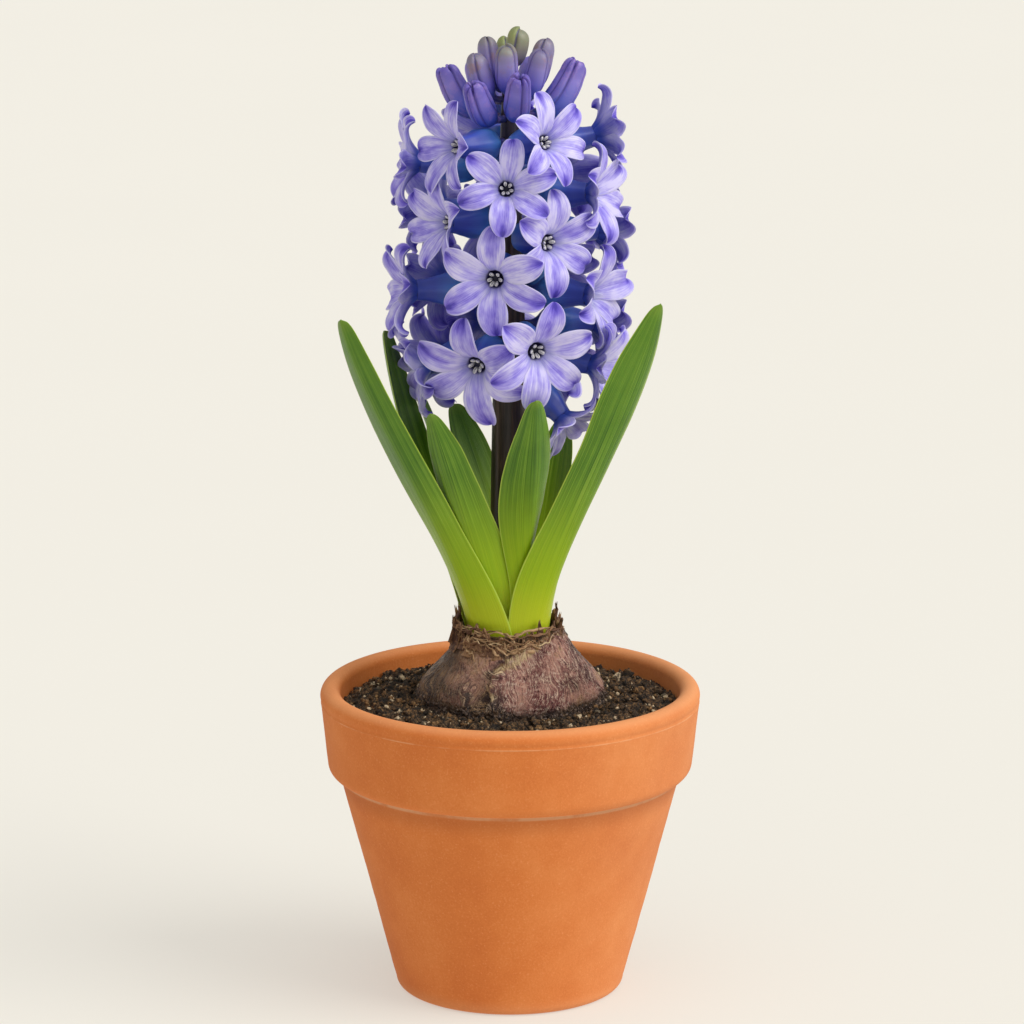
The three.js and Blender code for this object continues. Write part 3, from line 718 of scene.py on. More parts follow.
def bulb_finish():
    """Papery skin: place is (flow across, flow along, ridge), and tone how purple the sheet is. Thin pale
    fibres run up it over a dark ground, and it is dark and wet at the foot. Where ridge is high the skin is
    paler: its own colour on the band and the torn edge, painted highlight on the crests of wrinkles and
    rings. Where it is low
    there is painted shade: in the troughs, beside the sheet's edge and on the low skin."""
    f = Finish("bulb_skin")
    across, ahead, ridge = f.split(f.attribute("place"))
    _, _, height = f.split(f.here)
    purple = f.attribute("tone", "Fac")
    strands = f.noise(f.join(across * 1.8, ahead * 0.22, 0.0), 1.1, 5, 0.7, 0.45)
    hairs = f.noise(f.join(across * 4.4, ahead * 0.4, 5.0), 1.1, 4, 0.7, 0.4)
    net = f.noise(f.here, 1000, 5, 0.75, 0.5)
    patches = f.noise(f.here, 85, 4, 0.65)
    mark = strands * 0.4 + hairs * 0.35 + net * 0.25
    foot = f.between(height, 0.0995, 0.0955)
    ground = f.mix(f.between(patches, 0.4, 0.62), tint(54, 34, 27), tint(122, 92, 68))
    sheet = f.mix(f.between(patches, 0.42, 0.6), tint(136, 74, 74), tint(208, 150, 134))
    ground = f.mix(f.between(purple + (patches - 0.5) * 1.8, 0.1, 0.7), ground, sheet)
    ground = f.mix(f.between(patches, 0.56, 0.68) * 0.5, ground, tint(176, 144, 88))
    body = f.mix(f.between(mark, 0.495, 0.42) * 0.85, ground, tint(50, 28, 27))
    strong = f.between(patches, 0.62, 0.42, 0.25, 0.9)
    straw = f.mix(f.between(purple, 0.0, 0.7), tint(186, 146, 100), tint(255, 226, 196))
    body = f.mix(f.between(mark, 0.505, 0.56) * strong, body, straw)
    # pale flecks on the purple sheet: partly the skin's own specks, partly painted glints
    body = f.mix(f.between(net, 0.55, 0.65) * f.between(purple, 0.0, 0.7) * 0.75, body, tint(236, 208, 190))
    # pale where ridge is high: own colour on the band and torn edge, painted highlight on wrinkle and ring
    # crests
    fold = f.mix(f.between(hairs, 0.4, 0.6), tint(150, 112, 72), tint(250, 222, 172))
    body = f.mix(f.between(ridge, 0.25, 0.9) * 0.85, body, fold)
    # painted shade where ridge is low: in the troughs, beside the sheet's edge and on the low skin
    body = f.mix(f.between(ridge, -0.1, -0.9) * 0.75, body, tint(36, 20, 20))
    body = f.mix(foot * 0.7, body, f.mix(f.between(net, 0.5, 0.66), tint(36, 24, 20), tint(168, 148, 138)))
    shine = f.between(foot, 0.0, 1.0, 0.32, 0.2) + (net - 0.5) * 0.4
    return f.done(body, roughness=shine, bump=mark + net * 0.3, strength=1.0, depth=0.0022)


def tunic_finish():
    """Dry brown tunic, paler along its torn fibres."""
    f = Finish("dry_tunic", Roughness=0.7)
    across, ahead, side = f.split(f.attribute("place"))
    tone = f.attribute("tone", "Fac")
    fibres = f.noise(f.join(across * 5 + tone * 30, ahead * 1.2, tone * 5), 1.6, 5, 0.65)
    edge = f.between(abs(across), 0.8, 1.0) + f.between(ahead, 0.86, 1.0)
    body = f.stops(
        fibres * 0.5 + tone * 0.45 + edge * 0.12,
        (0.2, 40, 22, 16),
        (0.36, 98, 64, 44),
        (0.52, 164, 124, 86),
        (0.72, 236, 208, 162),
    )
    return f.done(body, bump=fibres, strength=0.6, depth=0.0005)


def floor_finish():
    """A pale floor that also glows a little, so that shadows on it stay light."""
    f = Finish("pale_floor", Roughness=0.95, Emission_Color=tint(241, 238, 229), Emission_Strength=0.53)
    cloud = f.noise(f.here, 3, 2)
    return f.done(f.mix(cloud, tint(166, 163, 155), tint(169, 166, 158)))


# Petals: their width and how deep their channel is, by the share of their length
PETAL_WIDTHS = [
    (-0.25, 0.42), (0, 0.58), (0.22, 0.88), (0.48, 1.12), (0.64, 1.1), (0.78, 0.96), (0.88, 0.79),
    (0.95, 0.63), (1, 0.48),
]
PETAL_CHANNEL = [(-0.2, 1.3), (0, 1.2), (0.3, 1), (0.7, 1.1), (0.9, 1.7), (1, 2.1)]


class Corolla:
    """Where the petals of one flower start: their middle, the way the flower looks, and a level spoke."""

    def __init__(self, middle, axis, level, radius):
        self.middle = middle
        self.axis = axis
        self.level = level
        self.up = np.cross(axis, level)
        self.radius = radius

    def spoke(self, degrees):
        a = math.radians(degrees)
        return math.cos(a) * self.level + math.sin(a) * self.up


def petal(shape, corolla, angle, long, wide, leans, sway, twist, tone, cup):
    """A closed petal. Its midline starts in the throat and leans further from the flower's axis as it goes,
    as leans says by the share of its length. Each cross-section is a lens bowed into a channel of depth cup,
    and the tip is a hood."""
    rows, sides = GRIDS["petal"]
    foot = FLORET["petal_foot"] / long
    q = np.linspace(0, 1, rows)
    v = -foot + (1 + foot) * (1 - (1 - q) ** 1.7)
    fine = np.linspace(v[0], 1, 400)
    lean = np.radians(eased(leans, fine))
    step = (fine[1] - fine[0]) * long
    reach = np.cumsum(np.sin(lean)) * step
    rise = np.cumsum(np.cos(lean)) * step
    reach, rise = reach - np.interp(0, fine, reach), rise - np.interp(0, fine, rise)
    reach, rise, lean = (np.interp(v, fine, line)[:, None, None] for line in (reach, rise, lean))

    spoke, axis = corolla.spoke(angle), corolla.axis
    aside = corolla.spoke(angle + 90)
    spine = corolla.middle + spoke * (corolla.radius + reach) + axis * rise
    face = -np.cos(lean) * spoke + np.sin(lean) * axis
    spin = math.radians(twist) * np.clip(v, 0, 1)[:, None, None]
    across_way = np.cos(spin) * aside + np.sin(spin) * face
    face = np.cos(spin) * face - np.sin(spin) * aside

    u, side = lens(sides, 0.8)
    inner = (1 + side) / 2
    v = v[:, None]
    blunt = np.sqrt(np.clip(1 - np.clip(v, 0, 1) ** 13, 0.0004, 1))
    half = wide / 2 * eased(PETAL_WIDTHS, v) * blunt
    channel = cup * wide / FLORET["petal_width"] * np.interp(v, *np.array(PETAL_CHANNEL).T) * blunt
    wave = 0.22 * np.sin(2 * np.pi * (1.3 * v + tone * 3)) * np.abs(u) ** 3 * np.sign(u)
    groove = 0.24 * np.exp(-((u / 0.18) ** 2)) * inner * np.clip(v * 3, 0.3, 1)
    ribs = 0.03 * np.cos(u * 17) * inner
    thick = FLORET["petal_thickness"] / 2 * (1 - 0.3 * np.clip(v, 0, 1)) * (0.35 + 0.65 * blunt)
    height = channel * np.abs(u) ** 1.7 + (wave - groove + ribs) * blunt + side * thick * ramp(v, -0.4, 0.16)
    aside_by = half * u + sway * np.clip(v, 0, 1) ** 2 * long
    points = spine + across_way * aside_by[..., None] + face * height[..., None]
    shape.tube(points, across=u[None], ahead=v, side=side[None], tone=tone)


def anthers(shape, corolla, size):
    """Six small two-lobed anthers in a ring in the throat, each on a short foot."""
    rows, sides = GRIDS["anther"]
    q = np.linspace(0.02, 0.98, rows)[:, None]
    angle = turn_angles(sides)
    swell = np.sqrt(1 - (2 * q - 1) ** 2) * (0.8 + 0.3 * q)
    for k in range(6):
        turned = 60 * k + 30 + 9 * math.sin(5 * k + size * 40)
        spoke, aside = corolla.spoke(turned), corolla.spoke(turned + 90)
        ahead = unit((0.5 + 0.25 * math.sin(3 * k)) * spoke + 0.8 * corolla.axis)
        face = np.cross(ahead, aside)
        middle = corolla.middle + spoke * 0.95 * size - corolla.axis * 1.35 * size
        across = 0.62 * size * swell * np.cos(angle)
        out = 0.5 * size * swell * np.sin(angle) * (1 - 0.35 * np.cos(angle) ** 4)
        spine = middle + ahead * (2.3 * size * q)[..., None]
        points = spine + aside * across[..., None] + face * out[..., None]
        shape.tube(points[:, ::-1], across=np.cos(angle[::-1])[None], ahead=q, side=0.0, finish=2)


# Tubes carried along a path
def swept(path, ahead, level, radius, angles):
    """Rings of this radius, a row for each point of the path, turned so that angle 0 is the level way."""
    x = unit(level - ahead * (ahead @ level)[:, None])
    y = np.cross(ahead, x)
    spread = x[:, None] * np.cos(angles)[..., None] + y[:, None] * np.sin(angles)[..., None]
    return path[:, None] + spread * np.asarray(radius)[..., None]


def scape_radius(height):
    at, radius = np.array(SCAPE_SIZES).T
    return np.interp(height, at, radius)


# A floret's tube: its radius by the share of its length, and the hollow of its mouth as radii and depths
TUBE_SIZES = [
    (0, 1.25), (0.1, 1.25), (0.19, 2.0), (0.34, 4.5), (0.58, 5.5), (0.8, 4.3), (0.93, 3.6), (1, 3.5),
]
MOUTH = [(3.45, -0.45), (3.0, -0.3), (2.6, -1.0), (2.1, -2.2), (1.4, -3.0), (0.5, -3.3)]


def floret_shape(floret, number):
    """A stalk and swollen tube along a curve out from the scape, then six petals in two whorls. Flowers at
    the sides and behind have broader petals, bent deeper and hooked further."""
    draw = np.random.default_rng(SEEDS["florets"] + number)
    size, radius = floret["size"], floret["radius"]
    from_front = abs((floret["azimuth"] + 180) % 360 - 180)
    aside = ramp(from_front, *ASIDE)
    behind = ramp(from_front, *BEHIND)
    p, w = math.radians(floret["pitch"]), math.radians(floret["yaw"])
    axis = np.array([math.cos(p) * math.cos(w), math.cos(p) * math.sin(w), math.sin(p)])
    level = np.array([-math.sin(w), math.cos(w), 0])
    throat = np.array([radius, 0, 0])
    start = np.array([scape_radius(floret["height"]) + GAP, 0, -0.35 * radius * math.sin(p)])
    run = np.linalg.norm(throat - start)
    back = throat - axis
    corners = [start, start + [0.35 * run, 0, 0], back - 0.4 * run * axis, back]
    rows, sides = GRIDS["tube"]
    t = np.linspace(0, 1, rows)
    path, ahead = bezier(corners, t)
    angles = turn_angles(sides)
    lobes = np.cos(6 * (angles - math.radians(floret["roll"])))
    wall = eased(TUBE_SIZES, t)[:, None] * (1 + 0.035 * lobes * ramp(t, 0.2, 0.5)[:, None])
    wall = wall * (1 + (size - 1) * np.clip((t - 0.84) / 0.16, 0, 1))[:, None]
    outer = swept(path, ahead, level, wall, angles)
    mouth = np.array(MOUTH)
    inner_path = throat + axis * mouth[:, 1:]
    inner_ahead = np.repeat(axis[None], len(mouth), 0)
    inner = swept(inner_path, inner_ahead, level, mouth[:, :1] * size * np.ones(sides), angles)
    along = np.concatenate([t, 1.0 + 0.05 * np.arange(1, len(mouth) + 1)])[:, None]
    shape = Shape()
    shape.tube(np.concatenate([outer, inner]), across=lobes[None], ahead=along, tone=draw.random(), finish=1)

    corolla = Corolla(throat, axis, level, FLORET["throat_radius"] * size)
    broad = 1 + 0.12 * ramp(from_front, *BROAD) + 0.1 * behind
    far = 1 + 0.08 * behind
    for k in range(6):
        outer_whorl = k % 2
        last = (FLORET["outer_curl"] if outer_whorl else FLORET["inner_curl"]) + floret["curl"]
        last += draw.normal(0, 6)
        first, hook = FLORET["first_lean"], draw.uniform(4, 26) + FLORET["hook"] * aside
        leans = [(-0.25, 8), (0, first), (0.5, (first + last) / 2 + 4), (0.76, last - 6), (1, last + hook)]
        petal(
            shape,
            corolla,
            floret["roll"] + 60 * k + draw.normal(0, 2.5),
            FLORET["petal_length"] * size * far * draw.uniform(0.98, 1.06),
            FLORET["petal_width"] * size * broad * (0.98 if outer_whorl else 1.06),
            leans,
            sway=draw.normal(0, 0.06),
            twist=draw.normal(0, 9),
            tone=draw.random(),
            cup=FLORET["cup"] + FLORET["side_cup"] * aside,
        )
    corolla.level = corolla.spoke(floret["roll"])
    corolla.up = np.cross(axis, corolla.level)
    anthers(shape, corolla, size)
    shape.turn(floret["azimuth"] - 90, floret["height"])
    return shape


def spike_florets():
    """The florets' places: the plain spiral, and those that stand off it. The rolls come from a row of whole
    numbers, each of them the last one times the multiplier, less whole multiples of the modulus."""
    multiplier, modulus = 16807, 2147483647
    state = SPIRAL_SEED
    count = SPIRAL["last"] - SPIRAL["first"]
    for n in range(SPIRAL["first"], SPIRAL["last"] + 1):
        state = state * multiplier % modulus
        plain = {
            "azimuth": SPIRAL["start"] + SPIRAL["turn"] * n,
            "height": SPIRAL["top"] - SPIRAL["drop"] * n,
            "radius": SPIRAL["radius"],
            "pitch": 10 - 22 * (n - SPIRAL["first"]) / count,
            "yaw": 0,
            "roll": 60 * state / modulus,
            "size": 0.92,
            "curl": 6,
        }
        seen = {key: value for key, value in zip(PLACE, SEEN.get(n, ())) if value is not None}
        yield {**plain, **seen}


# Buds: their radius by the share of their length, how young the first ones are, and how far round its axis
# a bud is turned where its grooves show
BUD_SIZES = [
    (0, 0.25), (0.14, 0.27), (0.24, 0.42), (0.36, 0.74), (0.5, 0.95), (0.66, 1), (0.8, 0.96), (0.87, 0.9),
]
YOUNG = [1, 0.9, 0.55, 0.5, 0.34, 0.6, 0.45]
OLD = 0.05
BUD_TURNS = {0: 62, 5: 94, 6: 80, 9: 70, 10: 88}


def bud_shape(bud, number):
    """A bud on a short stalk: a tube swept up a curve, then a round nose. Narrow grooves part its lobes.
    A closed bud has three lobes. An opening one has six, wide and narrow by turns, each with a round tip of
    its own that turns in to a pit: out = r (0.52 + 0.48 cos a), up = n sin a, for a from 0 to 150 degrees."""
    draw = np.random.default_rng(SEEDS["buds"] + number)
    tip = np.array(bud["tip"], float)
    azimuth = 90 + math.degrees(math.atan2(tip[1], tip[0]))
    local = np.array([math.hypot(tip[0], tip[1]), 0, tip[2] - bud["root"]])
    on_top = bud.get("on_top", False)
    opening = bud.get("open", 0)
    start = np.array([0 if on_top else scape_radius(bud["root"]) + GAP, 0, 0])
    span = np.linalg.norm(local - start)
    bend = start + ([0, 0, 0.3 * span] if on_top else [0.6 * (local[0] - start[0]), 0, 0])
    aim = unit(unit(local - start) * 0.5 + np.array([0, 0, 0.5]))
    corners = [start, bend, local - 0.5 * span * aim, local]
    rows, sides = GRIDS["bud"]
    t = np.linspace(0, 0.87 if opening else 0.8, rows)
    path, ahead = bezier(corners, t)
    level = np.array([0, 1, 0])
    angles = turn_angles(sides)
    turned = BUD_TURNS.get(number, draw.uniform(0, 120))

    lobes, wide = (6, 10) if opening else (3, 0)
    at = (np.degrees(angles) - turned) % 360
    seams = np.array([k * 360 / lobes + (wide if k % 2 else -wide) for k in range(lobes)])
    apart = np.abs((at[:, None] - seams + 180) % 360 - 180).min(1)
    groove = np.exp(-((apart / (7 if opening else 10)) ** 2))
    lobe = np.searchsorted(np.sort(seams % 360), at) % lobes
    narrow = (lobe % 2 == 0) * 1.0 if opening else 0 * at
    tall = draw.uniform(-0.16, 0.1, lobes)[lobe] * (1 - groove)
    depth = ramp(t, 0.36, 0.8)[:, None]
    cut = (0.22 if opening else 0.2) * groove + 0.09 * narrow * (1 - groove)
    swell = eased(BUD_SIZES, t)[:, None] * bud["width"] / 2
    radius = swell * (1 - cut * depth)
    rings = swept(path, ahead, level, radius, angles)

    a = np.radians(np.linspace(0, 150 if opening else 88, 16))[1:, None]
    nose = np.linalg.norm(local - path[-1])
    inward = 0.52 + 0.48 * np.cos(a) if opening else np.cos(a) ** 0.9
    parting = (0.55 if opening else 0.12) * groove
    lift = nose * np.sin(a) ** 0.8 * (1 + (tall - parting)) - 0.3 * nose * ramp(a, 1.8, 2.6)
    spread = (rings[-1] - path[-1])[None] * inward[..., None]
    tips = path[-1] + spread + unit(local - path[-1]) * lift[..., None]
    shape = Shape()
    young = YOUNG[number] if number < len(YOUNG) else OLD
    on = np.concatenate([t, t[-1] + (1 - t[-1]) * np.sin(a[:, 0])])[:, None]
    # deep marks the pit where the tips turn in, which the finish darkens as painted shade like the grooves
    deep = np.concatenate([0 * t, 2 * ramp(a[:, 0], 1.7, 2.3)])[:, None]
    furrow = 1 - 2 * groove - deep
    shape.tube(np.concatenate([rings, tips]), across=furrow, ahead=on, side=lobe[None] * 1.0, tone=young)
    shape.turn(azimuth - 90, bud["root"])
    return shape


# Leaves
def leaf_shape(leaf, number):
    """A channelled strap along a curve: it stands curved in the neck, opens to its full width,
    turns its back the way it leans, and narrows to a hooded tip. Each cross-section is a bent lens."""
    root_azimuth, root_radius = leaf["root"]
    foot = outward(np.array(float(root_azimuth))) * root_radius + [0, 0, LEAF["foot"]]
    end = np.array(leaf["tip"], float)
    tall = end[2] - foot[2]
    rise = foot + [0, 0, leaf["upright"] * tall]
    lean = unit((end - foot) * [1, 1, 0])
    spread = (rise + end) / 2 + [0, 0, 0.03 * tall] + lean * leaf["bow"]
    rows, sides = GRIDS["leaf"]
    q = np.linspace(0, 1, rows)
    t = 1 - (1 - q) ** 1.35
    path, ahead = bezier([foot, rise, spread, end], t)
    steps = np.linalg.norm(np.diff(path, axis=0), axis=1)
    behind = np.concatenate([[0], np.cumsum(steps)]) / steps.sum()
    taper = np.clip(eased(LEAF_TIP, 1 - behind), 0.02, 1)[:, None] ** leaf.get("pointed", 1)
    grown = ramp(t, 0.14, 0.58)
    turn_back = (leaf["face"] - root_azimuth + 540) % 360 - 180
    back = outward(root_azimuth + grown * turn_back)
    back = unit(back - ahead * (back * ahead).sum(-1, keepdims=True))
    across_way = np.cross(back, ahead)
    arc = math.radians(leaf["arc"] / 2)
    half_chord = (root_radius * math.sin(arc) * (1 - grown) + leaf["width"] / 2 * grown)[:, None]
    sag = (root_radius * (1 - math.cos(arc)) * (1 - grown) + 0.16 * leaf["width"] * grown)[:, None] * taper
    u, side = lens(sides, 0.55)
    left, right = (eased(leaf.get(edge, [(0, 0), (1, 0)]), t)[:, None] for edge in ("left", "right"))
    t = t[:, None]
    edge = half_chord + np.where(u > 0, left, right)
    bent = sag * np.abs(u * edge / half_chord) ** 1.7
    half = LEAF["thickness"] / 2 * (1 - 0.35 * t) * (1 - (1 - LEAF["edge_share"]) * u**2)
    half = half * (0.3 + 0.7 * np.sqrt(taper))
    ribs = 0.05 * np.cos(u * 36 + number) * ramp(t, 0.1, 0.4) * taper
    folds = 0.2 * np.sin(u * 4.5 + number * 2) * ramp(t, 0.15, 0.45) * taper
    crease_at, crease_depth = leaf.get("crease", (0, 0))
    past = np.clip((crease_at - u) / (1 + crease_at), 0, 1)
    folds = folds - crease_depth * (np.sqrt(past**2 + 0.01) - 0.1) * ramp(t, 0.08, 0.4) * np.sqrt(taper)
    wave = 0.4 * np.sin(2 * np.pi * (1.6 * t + 0.37 * number)) * u**3 * ramp(t, 0.25, 0.5) * taper
    off = side * (half + ribs) + folds - bent + wave
    spread_by = (u * edge * taper)[..., None]
    points = path[:, None] + across_way[:, None] * spread_by + back[:, None] * off[..., None]
    strip_at, light = leaf.get("strip", (-2, 0))
    strip = light * ramp(strip_at - u, -0.035, 0.035) * ramp(t, 0.1, 0.3)
    shape = Shape()
    # seen along the leaf, across_way and its back run clockwise, so each ring is taken the other way round
    shape.tube(points[:, ::-1], across=u[None, ::-1], ahead=t, side=strip[:, ::-1], tone=(0.37 * number) % 1)
    return shape


# The pot
def pot_outline():
    """The closed outline of the wall, (radius, height) rows, with a groove under the lip."""
    def arc(x, z, radius, first, last, count=14):
        a = np.radians(np.linspace(first, last, count))
        return np.stack([x + radius * np.cos(a), z + radius * np.sin(a)], -1)

    def line(x0, z0, x1, z1, count):
        return np.stack([np.linspace(x0, x1, count), np.linspace(z0, z1, count)], -1)[1:-1]

    band_middle = POT["band_foot_height"] + POT["band_foot_round"]
    band_inset = POT["band_foot_radius"] - POT["band_foot_round"]
    lip_middle = POT["height"] - POT["lip_radius"]
    lip_inset = POT["rim_radius"] - POT["lip_radius"]
    inner_band = POT["band_foot_radius"] - POT["wall"] - 0.7
    under_band = POT["band_foot_height"] - 4
    base = POT["base_radius"] - POT["base_round"]
    rows = [
        line(POT["hole_radius"] - 0.1, 0, base, 0, 10),
        arc(base, POT["base_round"], POT["base_round"], -90, 0),
        line(POT["base_radius"], POT["base_round"], band_inset, POT["band_foot_height"], 30),
        arc(band_inset, band_middle, POT["band_foot_round"], -90, 0),
        line(POT["band_foot_radius"], band_middle, POT["rim_radius"], lip_middle, 150),
        arc(lip_inset, lip_middle, POT["lip_radius"], 0, 180, 24),
        line(lip_inset - POT["lip_radius"], lip_middle, inner_band, band_middle, 12),
        line(inner_band, band_middle, band_inset - POT["wall"], under_band, 6),
        line(band_inset - POT["wall"], under_band, POT["base_radius"] - POT["wall"], POT["floor"], 16),
        line(POT["base_radius"] - POT["wall"] + 0.1, POT["floor"], POT["hole_radius"], POT["floor"], 8),
        line(POT["hole_radius"], POT["floor"] + 0.1, POT["hole_radius"], -0.1, 6),
    ]
    return np.concatenate(rows)


def pot_shape():
    """The outline turned round Z, with a slight hand-turned unevenness."""
    outline = pot_outline()
    around = np.linspace(0, 360, POT["points_round"], endpoint=False)
    radius, height = outline[:, :1], outline[:, 1:]
    points = round_z(around, radius, height)
    outside = (radius > 34) * ramp(height, 2, 8)
    line = np.exp(-(((height - POT["line_height"]) / 0.16) ** 2)) * (radius > 57)
    hollow = np.exp(-(((height - POT["line_height"] - 0.9) / 0.55) ** 2)) * (radius > 57)
    push = (0.1 * rumple(points, 60, 3) + 0.03 * rumple(points * [1, 1, 3], 24, 4)) * outside
    push = push + 0.08 * line - 0.16 * hollow
    points = points + outward(around)[None] * push[..., None]
    shape = Shape()
    shape.tube(points[:, ::-1], ahead=height / POT["height"], side=line, loop=True)
    return shape


# The potting mix. Crumbs: their size, how many, their tones and how far out they lie.
CRUMBS = [
    (0.75, 950, (0.0, 0.7), 52.3), (1.2, 560, (0.0, 0.84), 52.3), (1.8, 190, (0.0, 0.8), 51.5),
    (2.5, 60, (0.0, 0.6), 51), (0.75, 230, (0.88, 1.0), 52.3), (1.3, 84, (0.88, 1.0), 52.3),
    (1.9, 26, (0.88, 0.96), 51.5), (1.1, 150, (0.1, 0.8), 32),
]
CRUMBS_FROM = 29.3
MIX_INNER = 27.5
MIX_OUTER = 52.9
MIX_DEPTH = 6


def soil_height(points):
    """The mix lies in low heaps and sinks towards the pot: a product of two waves, less a soft step."""
    x, y = points[..., 0], points[..., 1]
    heaps = np.sin(x * 0.38 + y * 0.17 + 1) * np.cos(y * 0.34 - x * 0.11)
    return SOIL_HEIGHT + 0.9 * heaps - 1.8 * ramp(np.hypot(x, y), 40, 53)


def soil_shape():
    """A crumbly ring of mix between the pot and the bulb, closed below, strewn with crumbs, bark and grit."""
    top_rows, sides = GRIDS["mix"]
    around = np.linspace(0, 360, sides, endpoint=False)
    reach = np.concatenate([np.linspace(MIX_INNER, MIX_OUTER, top_rows), [52.7, 52.2, 28, 27.2]])
    below = np.concatenate([np.zeros(top_rows), [-1.5, -MIX_DEPTH, -MIX_DEPTH, -1.5]])
    points = outward(around)[None] * reach[:, None, None]
    on_top = (np.arange(len(reach)) < top_rows)[:, None]
    lumps = 0.8 * np.abs(rumple(points, 4, 22)) + 0.4 * rumple(points, 1.8, 23) - 0.8
    points[..., 2] = np.where(on_top, soil_height(points) + lumps, SOIL_HEIGHT - 1 + below[:, None])
    shape = Shape()
    shape.tube(points[:, ::-1], tone=0.3, loop=True)
    draw = np.random.default_rng(SEEDS["mix"])
    for size, count, tones, far in CRUMBS:
        place = np.sqrt(draw.uniform(CRUMBS_FROM**2, far**2, count))
        where = outward(draw.uniform(0, 360, count)) * place[:, None]
        crumbs(shape, where, size, draw, tones)
    return shape


def crumbs(shape, where, size, draw, tones):
    """Small lumps: a ball of a few rings, stretched, dented and turned at random, resting in the mix."""
    bands, sides = GRIDS["crumb"]
    polar = np.linspace(0.3, np.pi - 0.3, bands)[:, None]
    x, y = np.cos(turn_angles(sides)), np.sin(turn_angles(sides))
    ball = np.stack([np.sin(polar) * x, np.sin(polar) * y, -np.cos(polar) + 0 * x], -1)
    for middle in where:
        dents = 1 + 0.35 * draw.uniform(-1, 1, (bands, sides, 1))
        grown = ball * dents * draw.uniform(0.3, 1.0, 3) * size * draw.uniform(0.6, 1.1)
        turned, _ = np.linalg.qr(draw.normal(size=(3, 3)))
        if np.linalg.det(turned) < 0:
            turned[:, 0] *= -1
        base = [middle[0], middle[1], soil_height(middle) + size * draw.uniform(-0.3, 0.25)]
        shape.tube(grown @ turned.T + base, tone=draw.uniform(*tones))


# The bulb: where the right sheet of skin ends, (height, azimuth), where the brown layer above it ends and
# where a pale band lies, (azimuth, height), and the azimuth and height that the skin's rings lie round
SHEET_EDGE = [
    (60, -12), (94, -14), (98.8, -15), (101.4, -15), (103.8, -13.5), (107, -15.5), (110.4, -3.7),
    (112.6, 7.9), (115.1, 22.5), (116.3, 40), (117.5, 60),
]
BROWN_EDGE = [
    (-180, 114), (-70, 114), (-54, 115), (-25, 115.5), (-18, 114.3), (-4, 110.8), (8, 112.6), (22, 115.1),
    (49, 117), (90, 114), (180, 114),
]
BAND = [(-180, 105), (-22, 105), (-8, 108.4), (8, 111), (23, 113.4), (40, 115.4), (180, 116)]
RINGS = (18.8, 100)


def bulb_radius(height):
    radius, at = np.array(BULB_SIDE, float).T
    return eased(np.stack([at, radius], -1), height)


